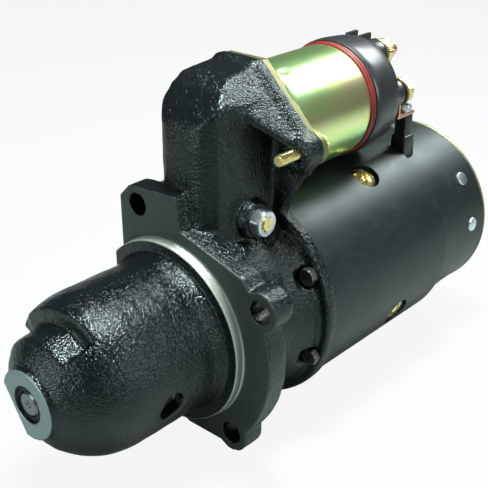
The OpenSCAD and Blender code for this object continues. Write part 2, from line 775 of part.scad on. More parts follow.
// Copper strap from the motor terminal down to the terminal block
module motor_strap() {
    y0 = motor_at[0];
    z0 = sol_z + motor_at[1];
    from_y = block_y - strap_w / 2;
    color([0.72, 0.42, 0.25]) difference() {
        union() {
            translate([cap_end_x, from_y, block_top_z]) cube([strap_t, y0 + strap_w / 2 - from_y,
                z0 - block_top_z]);
            translate([cap_end_x, y0, z0]) xcyl(0, strap_t, strap_w / 2 + 2.5);
            translate([cap_end_x, from_y, block_top_z])
                cube([block_x + block_half - cap_end_x, strap_w, strap_t]);
        }
        translate([cap_end_x, y0, z0]) xcyl(-1, strap_t + 1, stud_r + slip_gap);
        translate([block_x, block_y, block_top_z - 1]) cylinder(h = strap_t + 2,
            r = strap_screw_r + slip_gap);
    }
}

module strap_screw() {
    color([0.82, 0.83, 0.84]) translate([block_x, block_y, block_top_z + strap_t]) {
        difference() {
            union() {
                cylinder(h = 2.6, r = 2 * strap_screw_r - 0.2);
                translate([0, 0, -strap_t - 6]) cylinder(h = strap_t + 7, r = strap_screw_r);
            }
            translate([-5, -0.5, 1.5]) cube([10, 1, 2]);
        }
    }
}

module solenoid_flange() {
    color([0.55, 0.56, 0.42]) difference() {
        union() {
            on_solenoid() xprism(sol_face_x, case_x) sol_flange_outline();
            at_sol_bolts() xcyl(sol_face_x, case_x, flange_ear_r - 1.1);
        }
        on_solenoid() xcyl(sol_face_x - 1, case_x + 1, bobbin_in_r + 1);
        at_sol_bolts() xcyl(sol_face_x - 1, case_x + 1, sol_bolt_r + slip_gap);
    }
}

module solenoid_case() {
    color([0.78, 0.8, 0.42]) on_solenoid() xtube(case_x, case_end, case_r, case_in_r, $fn = 180);
}

module solenoid_core() {
    color([0.45, 0.46, 0.47]) on_solenoid() difference() {
        union() {
            xcyl(core_plate_x, core_plate_end, case_in_r - slip_gap);
            xcyl(core_face_x, core_plate_x + 1, plunger_r);
        }
        xcyl(core_face_x - 1, core_plate_end + 1, rod_hole_r);
    }
}

module coil_bobbin() {
    rear = core_plate_x;
    color([0.75, 0.72, 0.6]) on_solenoid() difference() {
        union() {
            xcyl(case_x, rear, bobbin_in_r + bobbin_wall);
            xcyl(case_x, case_x + bobbin_flange_t, case_in_r - slip_gap);
            xcyl(rear - bobbin_flange_t, rear, case_in_r - slip_gap);
        }
        xcyl(case_x - 1, rear + 1, bobbin_in_r);
    }
}

// One layer of the solenoid's winding
module winding(r_in, r_out) {
    on_solenoid() xtube(case_x + bobbin_flange_t + 0.1, core_plate_x - bobbin_flange_t - 0.1, r_out, r_in);
}
module pull_in_winding() { color([0.72, 0.4, 0.18]) winding(bobbin_in_r + bobbin_wall + slip_gap,
    winding_split_r); }
module hold_in_winding() { color([0.65, 0.35, 0.16]) winding(winding_split_r + slip_gap, case_in_r - 0.4); }

module seal_rings() {
    color([0.55, 0.12, 0.1]) on_solenoid() for (i = [0, 1])
        translate([seal_x + seal_w * i, 0, 0]) xturned([[case_in_r - 3, 0.03], [case_r + 0.2, 0.03],
            [case_r + 0.8, seal_w / 2], [case_r + 0.2, seal_w - 0.03], [case_in_r - 3, seal_w - 0.03]]);
}

module solenoid_cap() {
    inner = cap_r - cap_wall;
    color([0.05, 0.055, 0.06]) on_solenoid() difference() {
        union() {
            xturned([[0, cap_x], [cap_r - 1, cap_x], [cap_r - 0.2, cap_x + 2], [cap_r, cap_x + 6],
                [cap_r - 1.5, cap_step_x - 2], [cap_r - 2.2, cap_step_x], [0, cap_step_x]]);
            xturned([[0, cap_step_x - 1], [cap_rear_r, cap_step_x - 1], [cap_rear_r, cap_end_x - 1.5],
                [cap_rear_r - 1.5, cap_end_x], [0, cap_end_x]]);
            for (t = [battery_at, motor_at]) translate([0, t[0], t[1]]) xcyl(cap_step_x - 1, cap_end_x,
                washer_r - 0.5);
            for (y = rib_y) translate([cap_step_x - 1, y - 1, cap_rear_r - 2])
                cube([rib_len, 2, rib_top_r + 2 - cap_rear_r]);
        }
        xcyl(cap_x - 1, head_x + stud_head_t, inner);
        xcyl(cap_x, disc_spring_end, rod_r + 3);
        for (t = [battery_at, motor_at]) translate([0, t[0], t[1]])
            xcyl(cap_x, cap_end_x + 1, stud_r - stud_relief + slip_gap);
        translate([0, switch_at[0], switch_at[1]]) xcyl(cap_x, cap_end_x + 1,
            switch_r - stud_relief + slip_gap);
    }
}

// A terminal stud with its contact head inside the cap
module stud(at, r, head, seat_t) {
    on_solenoid() translate([0, at[0], at[1]]) {
        xcyl(head_x, cap_end_x + seat_t + 0.01, r - stud_relief);
        xcyl(cap_end_x + seat_t, cap_end_x + at[2], r);
        if (head) xcyl(head_x, head_x + stud_head_t, stud_head_r);
        if (!head) xcyl(head_x + stud_head_t - 1, head_x + stud_head_t, 4);
    }
}
module battery_stud() { color([0.72, 0.42, 0.3]) stud(battery_at, stud_r, true, washer_t + nut_t); }
module motor_stud() { color([0.72, 0.42, 0.3]) stud(motor_at, stud_r, true, strap_t + washer_t + nut_t); }
module switch_stud() { color([0.75, 0.6, 0.3]) stud(switch_at, switch_r, false, small_nut_t); }

module terminal_nuts() {
    color([0.85, 0.75, 0.38]) on_solenoid() {
        for (t = [[battery_at, 0], [motor_at, strap_t]]) translate([cap_end_x + washer_t + t[1], t[0][0],
            t[0][1]]) difference() {
            xhex(0, nut_t, nut_af);
            xcyl(-1, nut_t + 1, stud_r - stud_relief + slip_gap / 2);
        }
        translate([cap_end_x, switch_at[0], switch_at[1]]) difference() {
            xhex(0, small_nut_t, small_nut_af);
            xcyl(-1, small_nut_t + 1, switch_r - stud_relief + slip_gap / 2);
        }
    }
}

module terminal_washers() {
    color([0.82, 0.78, 0.55]) on_solenoid() for (t = [[battery_at, 0], [motor_at, strap_t]])
        translate([cap_end_x + t[1], t[0][0], t[0][1]]) xtube(0, washer_t, washer_r, stud_r + slip_gap);
}

module solenoid_bolts() {
    color([0.85, 0.72, 0.35]) at_sol_bolts() xcyl(ear_front_x - 11.5, case_x + 7.5, sol_bolt_r);
}

module solenoid_bolt_nuts() {
    color([0.85, 0.72, 0.35]) at_sol_bolts() difference() {
        xhex(case_x, case_x + 5, 10);
        xcyl(case_x - 1, case_x + 6, sol_bolt_r + slip_gap / 2);
    }
}

module armature_shaft() {
    groove = 0.8;
    color([0.6, 0.61, 0.62]) difference() {
        xturned([[0, shaft_front_x], [nose_journal_r - 1, shaft_front_x],
            [nose_journal_r, shaft_front_x + 1],
            [nose_journal_r, hub_x + 2], [shaft_r, hub_x + 4], [shaft_r, center_to + 2],
                [core_shaft_r, center_to + 3],
            [core_shaft_r, rear_from - 1.5], [rear_journal_r, rear_from - 0.5], [rear_journal_r, rear_to],
                [0, rear_to]]);
        // Centre mark in the nose end
        translate([shaft_front_x - 0.01, 0, 0]) rotate([0, 90, 0]) cylinder(h = 1.8, r1 = 1.6, r2 = 0);
        // Groove for the stop ring
        xtube(stop_x - stop_len - stop_ring_t, stop_x - stop_len, shaft_r + 1, shaft_r - groove);
        // Splines that the drive turns with
        for (a = [0:45:315]) outward(a) translate([hub_x + 30, -0.8, shaft_r - groove])
            cube([center_from - hub_x - 32, 1.6, 2]);
    }
}

module armature_core() {
    color([0.35, 0.36, 0.37]) difference() {
        xtube(pole_from, pole_to, core_r, core_shaft_r);
        for (i = [0:core_slots - 1]) outward(i * 360 / core_slots)
            translate([pole_from - 1, -slot_w / 2, core_r - slot_depth])
                cube([pole_len + 2, slot_w, slot_depth + 2]);
    }
}

module armature_winding() {
    out_r = core_r - 1;
    in_r = core_r - slot_depth + 0.1;
    color([0.75, 0.42, 0.2]) {
        xtube(pole_from - 12, pole_from, out_r, in_r - 5);
        xtube(pole_to, comm_from - 0.2, out_r - 1, in_r - 5);
        for (i = [0:core_slots - 1]) outward(i * 360 / core_slots)
            translate([pole_from - 1, -slot_w / 2 + 0.15, in_r])
                cube([pole_len + 2, slot_w - 0.3, slot_depth - 1.5]);
    }
}

module commutator() {
    color([0.75, 0.45, 0.25]) difference() {
        union() {
            xcyl(comm_from, comm_to, comm_r);
            xcyl(comm_from, comm_from + 3, comm_r + 3);
        }
        xcyl(comm_from - 1, comm_to + 1, core_shaft_r);
        for (i = [0:comm_bars - 1]) outward(i * 360 / comm_bars)
            translate([comm_from + 3.5, -0.4, comm_r - 1]) cube([comm_to - comm_from, 0.8, 3]);
    }
}

module stop_collar() {
    color([0.5, 0.51, 0.52]) xtube(stop_x - stop_len, stop_x, shaft_r + 4.5, shaft_r);
}

module stop_ring() {
    color([0.3, 0.3, 0.31]) xtube(stop_x - stop_len - stop_ring_t, stop_x - stop_len, shaft_r + 1.6,
        shaft_r - 0.75);
}

// Outline of one pinion tooth, pointing along +Y
module tooth_outline() {
    m = pinion_module;
    r = m * pinion_teeth / 2;
    root = r - 1.25 * m;
    polygon([[root - 1, -0.95 * m], [root, -0.95 * m], [r, -0.76 * m], [r + 0.6 * m, -0.5 * m],
        [r + m, -0.3 * m],
        [r + m, 0.3 * m], [r + 0.6 * m, 0.5 * m], [r, 0.76 * m], [root, 0.95 * m], [root - 1, 0.95 * m]]);
}

module pinion() {
    root = pinion_module * (pinion_teeth / 2 - 1.25);
    color([0.55, 0.56, 0.57]) difference() {
        union() {
            intersection() {
                xprism(pinion_front_x, pinion_rear_x) {
                    circle(r = root);
                    for (i = [0:pinion_teeth - 1]) rotate(i * 360 / pinion_teeth) tooth_outline();
                }
                xturned([[0, pinion_front_x], [root + 1, pinion_front_x], [root + 7, pinion_front_x + 5],
                    [root + 7, pinion_rear_x], [0, pinion_rear_x]]);
            }
            xcyl(pinion_rear_x - 1, race_end_x, race_r);
        }
        xcyl(pinion_front_x - 1, race_end_x + 1, shaft_r + slip_gap);
    }
}

module drive_sleeve() {
    color([0.5, 0.51, 0.52]) xtube(shell_end_x, sleeve_end_x, sleeve_r, shaft_r + slip_gap);
}

module clutch_shell() {
    color([0.62, 0.62, 0.6]) difference() {
        xturned([[0, shell_front_x], [clutch_r - 1.5, shell_front_x], [clutch_r, shell_front_x + 1.5],
            [clutch_r, shell_end_x - 1], [clutch_r - 1, shell_end_x], [0, shell_end_x]]);
        xcyl(shell_front_x - 1, shell_end_x + 1, shaft_r + slip_gap);
        xcyl(shell_front_x - 1, shell_back_x, race_r + slide_gap);
        xcyl(shell_front_x + shell_lip, shell_back_x, shell_in_r);
    }
}

module clutch_rollers() {
    color([0.75, 0.76, 0.77]) for (i = [0:roller_count - 1]) around(i * 360 / roller_count,
        shell_in_r - roller_r - slip_gap)
        xcyl(shell_front_x + shell_lip + 0.2, shell_back_x - 0.2, roller_r);
}

module mesh_spring() {
    color([0.55, 0.56, 0.57]) xspring(shell_end_x + 0.1, collar_from - 0.1, mesh_coil_r, mesh_wire_r, 5);
}

module shift_collar() {
    color([0.55, 0.5, 0.4]) difference() {
        xcyl(collar_from, collar_to, collar_r);
        xcyl(collar_from - 1, collar_to + 1, sleeve_r + slip_gap);
        xtube(groove_x - groove_w / 2, groove_x + groove_w / 2, collar_r + 2, groove_r);
    }
}

module sleeve_ring() {
    color([0.3, 0.3, 0.31]) xtube(collar_to, sleeve_end_x, sleeve_r + 2, sleeve_r);
}

// The lever, drawn upright about its pivot and tilted to its rest place
module shift_lever() {
    color([0.4, 0.41, 0.42]) translate([pivot_x, 0, pivot_z]) rotate([0, -lever_angle, 0]) difference() {
        union() {
            ycyl(-hub_half_y, hub_half_y, pivot_r + 4);
            translate([-6, -2.7, 0]) cube([12, 5.4, upper_arm_len + 6]);
            translate([-5, -4, bridge_from_z - pivot_z]) cube([10, 8, pivot_z - bridge_from_z]);
            translate([-arm_w / 2, -arm_in_y - arm_t, bridge_from_z - pivot_z])
                cube([arm_w, 2 * (arm_in_y + arm_t), bridge_to_z - bridge_from_z]);
            for (s = [-1, 1]) {
                translate([-arm_w / 2, s > 0 ? arm_in_y : -arm_in_y - arm_t, -pivot_z - 4])
                    cube([arm_w, arm_t, bridge_from_z + 5]);
                translate([0, 0, -pivot_z / cos(lever_angle)])
                    ycyl(s > 0 ? groove_r + slide_gap : -arm_in_y - 1,
                        s > 0 ? arm_in_y + 1 : -groove_r - slide_gap, shoe_r);
            }
        }
        ycyl(-30, 30, pivot_r + running_fit);
        translate([-pin_r - slide_gap, -10, upper_arm_len - 4]) cube([2 * (pin_r + slide_gap), 20, 12]);
    }
}

module plunger() {
    color([0.6, 0.61, 0.6]) on_solenoid() difference() {
        union() {
            xturned([[0, plunger_from], [plunger_r - 1, plunger_from], [plunger_r, plunger_from + 1],
                [plunger_r, plunger_to], [0, plunger_to]]);
            for (s = [-1, 1]) translate([pin_x - 6, s > 0 ? cheek_in : -cheek_out, -cheek_half_z])
                cube([plunger_from - pin_x + 7, cheek_out - cheek_in, 2 * cheek_half_z]);
        }
        xcyl(spring_bore_x, plunger_to + 1, spring_bore_r);
        translate([pin_x, 0, 0]) ycyl(-20, 20, pin_r + slip_gap);
    }
}

module plunger_pin() {
    color([0.7, 0.71, 0.72]) translate([pin_x, 0, sol_z]) {
        ycyl(-cheek_out - 1.5, cheek_out + 1.5, pin_r);
        ycyl(cheek_out, cheek_out + 1.5, pin_r + 1.2);
        ycyl(-cheek_out - 1.5, -cheek_out, pin_r + 1.2);
    }
}

module plunger_spring() {
    color([0.6, 0.61, 0.62]) on_solenoid() xspring(spring_bore_x + 0.1, core_face_x - 0.1,
        spring_bore_r - 1.5, 0.8, 8);
}

module contact_rod() {
    from = spring_bore_x + plunger_travel - contact_travel + 0.1;
    color([0.7, 0.71, 0.72]) on_solenoid() {
        xcyl(from, disc_x + disc_t + rod_tail, rod_r);
        xcyl(disc_x - 1.5, disc_x, rod_r + 1.5);
    }
}

module contact_disc() {
    color([0.78, 0.45, 0.25]) on_solenoid() xtube(disc_x, disc_x + disc_t, disc_r, rod_r);
}

module contact_spring() {
    color([0.6, 0.61, 0.62]) on_solenoid() xspring(disc_x + disc_t + 0.1, disc_spring_end - 0.1,
        rod_r + 1.4, 0.6, 6);
}

drive_housing();
nose_bushing();
pivot_bolt();
pivot_nut();
housing_screws();
center_bearing_plate();
center_bushing();
field_frame();
pole_shoes();
pole_screws();
field_coils();
end_housing();
rear_bushing();
end_plate();
end_screws();
brush_holders();
brush_holder_screws();
brush_1();
brush_2();
brush_3();
brush_4();
brush_springs();
field_terminal_block();
motor_strap();
strap_screw();
solenoid_flange();
solenoid_case();
solenoid_core();
coil_bobbin();
pull_in_winding();
hold_in_winding();
seal_rings();
solenoid_cap();
battery_stud();
motor_stud();
switch_stud();
terminal_nuts();
terminal_washers();
solenoid_bolts();
solenoid_bolt_nuts();
armature_shaft();
armature_core();
armature_winding();
commutator();
stop_collar();
stop_ring();
pinion();
drive_sleeve();
clutch_shell();
clutch_rollers();
mesh_spring();
shift_collar();
sleeve_ring();
shift_lever();
plunger();
plunger_pin();
plunger_spring();
contact_rod();
contact_disc();
contact_spring();
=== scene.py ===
"""Heavy-duty starter motor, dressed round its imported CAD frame.

Sizes are in millimetres in the part's frame: X runs along the armature with the nose
towards -X, +Z points to the solenoid, and the origin is the centre of the mounting
flange's front face. Meshes are written in metres.
"""
import json
import logging
import math
from dataclasses import dataclass
from enum import Enum
from typing import Any, Callable, Iterable, Sequence

import bmesh
import bpy
import numpy as np
from mathutils import Matrix, Vector, noise


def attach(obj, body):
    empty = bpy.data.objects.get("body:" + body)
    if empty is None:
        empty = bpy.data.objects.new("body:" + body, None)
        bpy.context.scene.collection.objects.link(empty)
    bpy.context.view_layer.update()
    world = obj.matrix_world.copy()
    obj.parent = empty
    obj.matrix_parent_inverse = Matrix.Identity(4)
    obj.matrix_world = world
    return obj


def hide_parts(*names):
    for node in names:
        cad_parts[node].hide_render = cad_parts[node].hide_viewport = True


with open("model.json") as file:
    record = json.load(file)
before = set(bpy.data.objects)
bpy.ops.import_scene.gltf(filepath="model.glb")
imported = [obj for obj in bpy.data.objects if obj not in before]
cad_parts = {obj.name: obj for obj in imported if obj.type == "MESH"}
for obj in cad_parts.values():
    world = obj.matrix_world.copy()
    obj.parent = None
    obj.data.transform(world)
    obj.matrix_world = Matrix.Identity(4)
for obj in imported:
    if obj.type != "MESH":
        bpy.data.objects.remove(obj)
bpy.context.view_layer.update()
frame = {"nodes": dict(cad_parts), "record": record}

LOG = logging.getLogger("starter_motor")
MM = 0.001
MOTOR_BODY = "motor_body"
SHARP_ANGLE = 30.0
Colour = tuple[float, float, float]
Point2 = tuple[float, float]

# Places in Y and Z: the solenoid's axis, its two big terminals from that axis, and the armature's axis.
SOLENOID_AXIS: Point2 = (0.0, 86.5)
BATTERY_AT: Point2 = (-7.2, 19.5)
MOTOR_AT: Point2 = (-20.5, 0.5)
ON_AXIS: Point2 = (0.0, 0.0)


class Corner(Enum):
    """How the corner between two faces is shaded."""

    SOFT = 30.0
    CRISP = 18.0


# ---------------------------------------------------------------- shader expressions


class Socket:
    """A shader output that takes part in Python arithmetic."""

    def __init__(self, graph: "Graph", link: bpy.types.NodeSocket) -> None:
        """Keeps the graph and the output.

        Args:
            graph: the graph that new Math nodes go into.
            link: the output that this value stands for.
        """
        self.graph = graph
        self.link = link

    def _math(self, operation: str, first: Any, second: Any = 0.0) -> "Socket":
        """Adds one Math node and returns its value."""
        return self.graph.out("ShaderNodeMath", {"operation": operation}, {0: first, 1: second})

    def __add__(self, other: Any) -> "Socket":
        """Returns self + other."""
        return self._math("ADD", self, other)

    def __radd__(self, other: Any) -> "Socket":
        """Returns other + self."""
        return self._math("ADD", other, self)

    def __sub__(self, other: Any) -> "Socket":
        """Returns self - other."""
        return self._math("SUBTRACT", self, other)

    def __rsub__(self, other: Any) -> "Socket":
        """Returns other - self."""
        return self._math("SUBTRACT", other, self)

    def __mul__(self, other: Any) -> "Socket":
        """Returns self * other."""
        return self._math("MULTIPLY", self, other)

    def __rmul__(self, other: Any) -> "Socket":
        """Returns other * self."""
        return self._math("MULTIPLY", other, self)

    def __pow__(self, other: Any) -> "Socket":
        """Returns self to the power of other."""
        return self._math("POWER", self, other)

    def absolute(self) -> "Socket":
        """Returns the size of the value without its sign."""
        return self._math("ABSOLUTE", self)

    def above(self, edge: float, width: float) -> "Socket":
        """Returns 0 below an edge and 1 above it, with a soft step.

        Args:
            edge: the middle of the step.
            width: the width of the step.

        Returns:
            The step's value, from 0 to 1.
        """
        low, high = edge - width / 2, edge + width / 2
        settings = {"interpolation_type": "SMOOTHSTEP"}
        return self.graph.out("ShaderNodeMapRange", settings,
            {"Value": self, "From Min": low, "From Max": high})

    def below(self, edge: float, width: float) -> "Socket":
        """Returns 1 below an edge and 0 above it, with a soft step."""
        return 1.0 - self.above(edge, width)

    def spread(self, low: float, high: float) -> "Socket":
        """Maps a value from 0..1 to low..high."""
        return self * (high - low) + low


class Graph:
    """The node tree of one material, or of the world."""

    def __init__(self, owner: bpy.types.Material | bpy.types.World) -> None:
        """Empties the node tree of its owner.

        Args:
            owner: the material or the world.
        """
        self.owner = owner
        owner.use_nodes = True
        self.tree = owner.node_tree
        self.tree.nodes.clear()
        self._coords: Socket | None = None

    @classmethod
    def of_material(cls, name: str) -> "Graph":
        """Returns the graph of a new material."""
        return cls(bpy.data.materials.new(name))

    def add(self, kind: str, settings: dict[str, Any] | None = None,
            sockets: dict[Any, Any] | None = None) -> bpy.types.Node:
        """Adds any node.

        Args:
            kind: the node's type.
            settings: its settings, set first; "stops" fills a colour ramp.
            sockets: values or links of its inputs, by name or index.

        Returns:
            The new node.
        """
        node = self.tree.nodes.new(kind)
        for key, value in (settings or {}).items():
            if key == "stops":
                self._fill_ramp(node, value)
            else:
                setattr(node, key, value)
        for key, value in (sockets or {}).items():
            if isinstance(value, Socket):
                self.tree.links.new(value.link, node.inputs[key])
            else:
                node.inputs[key].default_value = value
        return node

    def out(self, kind: str, settings: dict[str, Any] | None = None, sockets: dict[Any, Any] | None = None,
            output: Any = 0) -> Socket:
        """Adds any node and returns one of its outputs.

        Args:
            kind: the node's type.
            settings: its settings.
            sockets: values or links of its inputs.
            output: the name or index of the output.

        Returns:
            The output as a socket.
        """
        return Socket(self, self.add(kind, settings, sockets).outputs[output])

    @staticmethod
    def _fill_ramp(node: bpy.types.Node, stops: Sequence[tuple[float, Colour]]) -> None:
        """Puts the stops into a colour ramp.

        Args:
            node: the ramp's node.
            stops: the place and the colour of each stop.
        """
        ramp = node.color_ramp
        while len(ramp.elements) < len(stops):
            ramp.elements.new(0.5)
        for element, (place, colour) in zip(ramp.elements, stops):
            element.position = place
            element.color = (*colour, 1.0)

    @property
    def coords(self) -> Socket:
        """The place on the object.

        Returns:
            The vector, in metres.
        """
        if self._coords is None:
            self._coords = self.out("ShaderNodeTexCoord", output="Object")
        return self._coords

    def axes(self) -> tuple[Socket, Socket, Socket]:
        """Splits the place on the object.

        Returns:
            Its X, Y and Z in millimetres.
        """
        scaled = self.out("ShaderNodeVectorMath", {"operation": "SCALE"}, {0: self.coords, "Scale": 1 / MM})
        split = self.add("ShaderNodeSeparateXYZ", None, {0: scaled})
        return Socket(self, split.outputs[0]), Socket(self, split.outputs[1]), Socket(self, split.outputs[2])

    def grain(self, size: float, detail: float = 2.0, roughness: float = 0.5,
            stretch: Colour = (1.0, 1.0, 1.0)) -> Socket:
        """Returns noise whose spots are about a given size.

        Args:
            size: the size of a spot, in millimetres.
            detail: the number of finer layers.
            roughness: the strength of the finer layers.
            stretch: how far a spot is drawn out along each axis.

        Returns:
            The noise, around 0.5.
        """
        scale = tuple(1.0 / s for s in stretch)
        place = self.out("ShaderNodeVectorMath", {"operation": "MULTIPLY"}, {0: self.coords, 1: scale})
        return self.out("ShaderNodeTexNoise", None,
            {"Vector": place, "Scale": 1 / (size * MM), "Detail": detail, "Roughness": roughness})

    def blend(self, factor: Any, first: Any, second: Any) -> Socket:
        """Mixes two colours.

        Args:
            factor: 0 for the first colour and 1 for the second.
            first: a colour or a socket.
            second: a colour or a socket.

        Returns:
            The mixed colour.
        """
        colours = [c if isinstance(c, Socket) else (*c, 1.0) for c in (first, second)]
        return self.out("ShaderNodeMix", {"data_type": "RGBA"}, {0: factor, 6: colours[0], 7: colours[1]}, 2)

    def ramp(self, factor: Socket, stops: Sequence[tuple[float, Colour]]) -> Socket:
        """Turns a value into a colour along stops."""
        return self.out("ShaderNodeValToRGB", {"stops": stops}, {0: factor})

    def bump(self, height: Socket, depth: float) -> Socket:
        """Returns a normal for a height.

        Args:
            height: the height, from 0 to 1.
            depth: the depth of the relief, in millimetres.

        Returns:
            The normal.
        """
        return self.out("ShaderNodeBump", None, {"Strength": 1.0, "Distance": depth * MM, "Height": height})

    def shader(self, **inputs: Any) -> Socket:
        """Adds a Principled shader.

        Args:
            inputs: values or links of its inputs; an underscore in a name stands for a space.

        Returns:
            The shader.
        """
        names = {key.replace("_", " "): value for key, value in inputs.items()}
        values = {k: (*v, 1.0) if isinstance(v, tuple) and len(v) == 3 else v for k, v in names.items()}
        return self.out("ShaderNodeBsdfPrincipled", None, values)

    def finish(self, surface: Socket, kind: str = "ShaderNodeOutputMaterial") -> bpy.types.ID:
        """Connects the surface to an output and returns the owner."""
        self.add(kind, None, {"Surface": surface})
        return self.owner


# ---------------------------------------------------------------- finishes


@dataclass(frozen=True)
class MetalFinish:
    """Bare or plated metal with a tint that drifts over the surface, and, where asked, painted shade
    darkening its front end inside the nose bore.
    """

    name: str
    base: Colour
    tint: Colour
    roughness: float = 0.3
    drift: float = 9.0
    brush: Colour = (1.0, 1.0, 1.0)
    brush_depth: float = 0.01
    smudge: Colour = (0.3, 0.3, 0.3)
    smudge_amount: float = 0.25
    # Painted shade: in front of this x, inside the nose bore, the metal is darkened to the colour below.
    shaded_front_x: float | None = None
    front_shade: Colour = (0.012, 0.013, 0.014)

    def build(self) -> bpy.types.Material:
        """Builds the material.

        Returns:
            The finished material.
        """
        g = Graph.of_material(self.name)
        patches = g.grain(self.drift, 3.0, 0.6)
        marks = g.grain(0.5, 3.0, 0.6, self.brush)
        dirt = g.grain(4.0, 4.0, 0.65).above(0.62, 0.2) * self.smudge_amount
        colour = g.blend(patches.above(0.5, 0.3), self.base, self.tint)
        colour = g.blend(dirt, colour, self.smudge)
        # Painted shade: darken the front end, which sits inside the nose bore where its walls shade it.
        if self.shaded_front_x is not None:
            x, _, _ = g.axes()
            colour = g.blend(x.below(self.shaded_front_x, 0.4), colour, self.front_shade)
        rough = marks.spread(self.roughness - 0.08, self.roughness + 0.08) + dirt * 0.2
        normal = g.bump(marks, self.brush_depth)
        return g.finish(g.shader(Base_Color=colour, Metallic=1.0, Roughness=rough, Normal=normal))


@dataclass(frozen=True)
class PlainFinish:
    """Plastic, rubber, carbon or enamel with a fine grain."""

    name: str
    base: Colour
    tint: Colour
    roughness: float = 0.45
    grain: float = 0.6
    depth: float = 0.02
    coat: float = 0.0

    def build(self) -> bpy.types.Material:
        """Builds the material.

        Returns:
            The finished material.
        """
        g = Graph.of_material(self.name)
        patches = g.grain(7.0, 3.0, 0.6)
        fine = g.grain(self.grain, 2.0, 0.5)
        colour = g.blend(patches, self.base, self.tint)
        rough = patches.spread(self.roughness - 0.08, self.roughness + 0.08)
        return g.finish(g.shader(Base_Color=colour, Roughness=rough, Normal=g.bump(fine, self.depth),
            Coat_Weight=self.coat, Coat_Roughness=0.2))


@dataclass(frozen=True)
class PaintFinish:
    """Satin black paint over drawn steel, with faint handling marks."""

    name: str
    base: Colour = (0.004, 0.006, 0.0065)
    haze: Colour = (0.014, 0.020, 0.021)
    roughness: float = 0.43

    def build(self) -> bpy.types.Material:
        """Builds the material.

        Returns:
            The finished material.
        """
        g = Graph.of_material(self.name)
        wave = g.grain(16.0, 2.0, 0.5)
        peel = g.grain(1.1, 2.0, 0.5)
        rub = g.grain(5.0, 5.0, 0.7, (1.8, 1.0, 1.0)).above(0.6, 0.25)
        colour = g.blend(rub * 0.4, self.base, self.haze)
        rough = wave.spread(self.roughness - 0.05, self.roughness + 0.07) + rub * 0.06
        return g.finish(g.shader(Base_Color=colour, Roughness=rough, Normal=g.bump(peel, 0.03),
            Specular_Tint=(0.86, 1.0, 0.99, 1.0)))


@dataclass(frozen=True)
class CastFinish:
    """Painted cast iron: a sparkling sand-cast skin, and machined faces where a tool has cut it."""

    name: str
    base: Colour = (0.0025, 0.0038, 0.0042)
    peak: Colour = (0.005, 0.008, 0.009)
    machined: Colour = (0.075, 0.092, 0.088)
    tip_face: Colour = (0.22, 0.28, 0.28)
    register: Colour = (0.40, 0.43, 0.38)
    pilot_r: float = 46.05
    pilot_len: float = 5.0
    nose_len: float = 86.0
    face_slack: float = 0.35
    sand_depth: float = 0.62
    sand_gloss: float = 0.42
    skin_rough: tuple[float, float] = (0.17, 0.27)
    metal_rough: tuple[float, float] = (0.42, 0.6)

    def _machined_masks(self, g: Graph) -> tuple[Socket, Socket, Socket]:
        """Finds where a tool has cut the casting.

        Args:
            g: the material's graph.

        Returns:
            The masks of the flange's face, the tip's face and the pilot's bright band.
        """
        x, y, z = g.axes()
        radius = (y * y + z * z) ** 0.5
        flange = x.absolute().below(self.face_slack, 0.2) * radius.above(self.pilot_r + 0.1, 0.1)
        boss = x.below(-self.nose_len + 0.5, 0.3)
        pilot = radius.above(self.pilot_r - 0.5, 0.2) * radius.below(self.pilot_r + 0.6, 0.2)
        pilot = pilot * x.above(-self.pilot_len - 0.2, 0.2) * x.below(0.1, 0.2)
        return flange, boss, pilot

    def build(self) -> bpy.types.Material:
        """Builds the material.

        Returns:
            The finished material.
        """
        g = Graph.of_material(self.name)
        coarse = g.grain(1.6, 2.0, 0.5)
        fine = g.grain(0.8, 1.0, 0.5)
        sand = coarse * 0.55 + fine * 0.45
        patches = g.grain(14.0, 3.0, 0.6)
        flange, tip, pilot = self._machined_masks(g)
        colour = g.blend(sand.above(0.58, 0.2) * 0.8, self.base, self.peak)
        rough = patches.spread(*self.skin_rough)
        skin = g.shader(Base_Color=colour, Roughness=rough, Normal=g.bump(sand, self.sand_depth),
            Specular_IOR_Level=self.sand_gloss, Specular_Tint=(0.84, 1.0, 0.98, 1.0))
        lines = g.grain(0.8, 4.0, 0.7)
        grey = g.blend(patches, self.machined, tuple(c * 0.6 for c in self.machined))
        tone = g.blend(pilot, g.blend(tip, grey, self.tip_face), self.register)
        metal = g.shader(Base_Color=tone, Metallic=0.85, Roughness=lines.spread(*self.metal_rough),
            Normal=g.bump(lines, 0.03))
        mask = g.out("ShaderNodeMath", {"operation": "MAXIMUM", "use_clamp": True},
            {0: flange + tip, 1: pilot})
        return g.finish(g.out("ShaderNodeMixShader", None, {0: mask, 1: skin, 2: metal}))


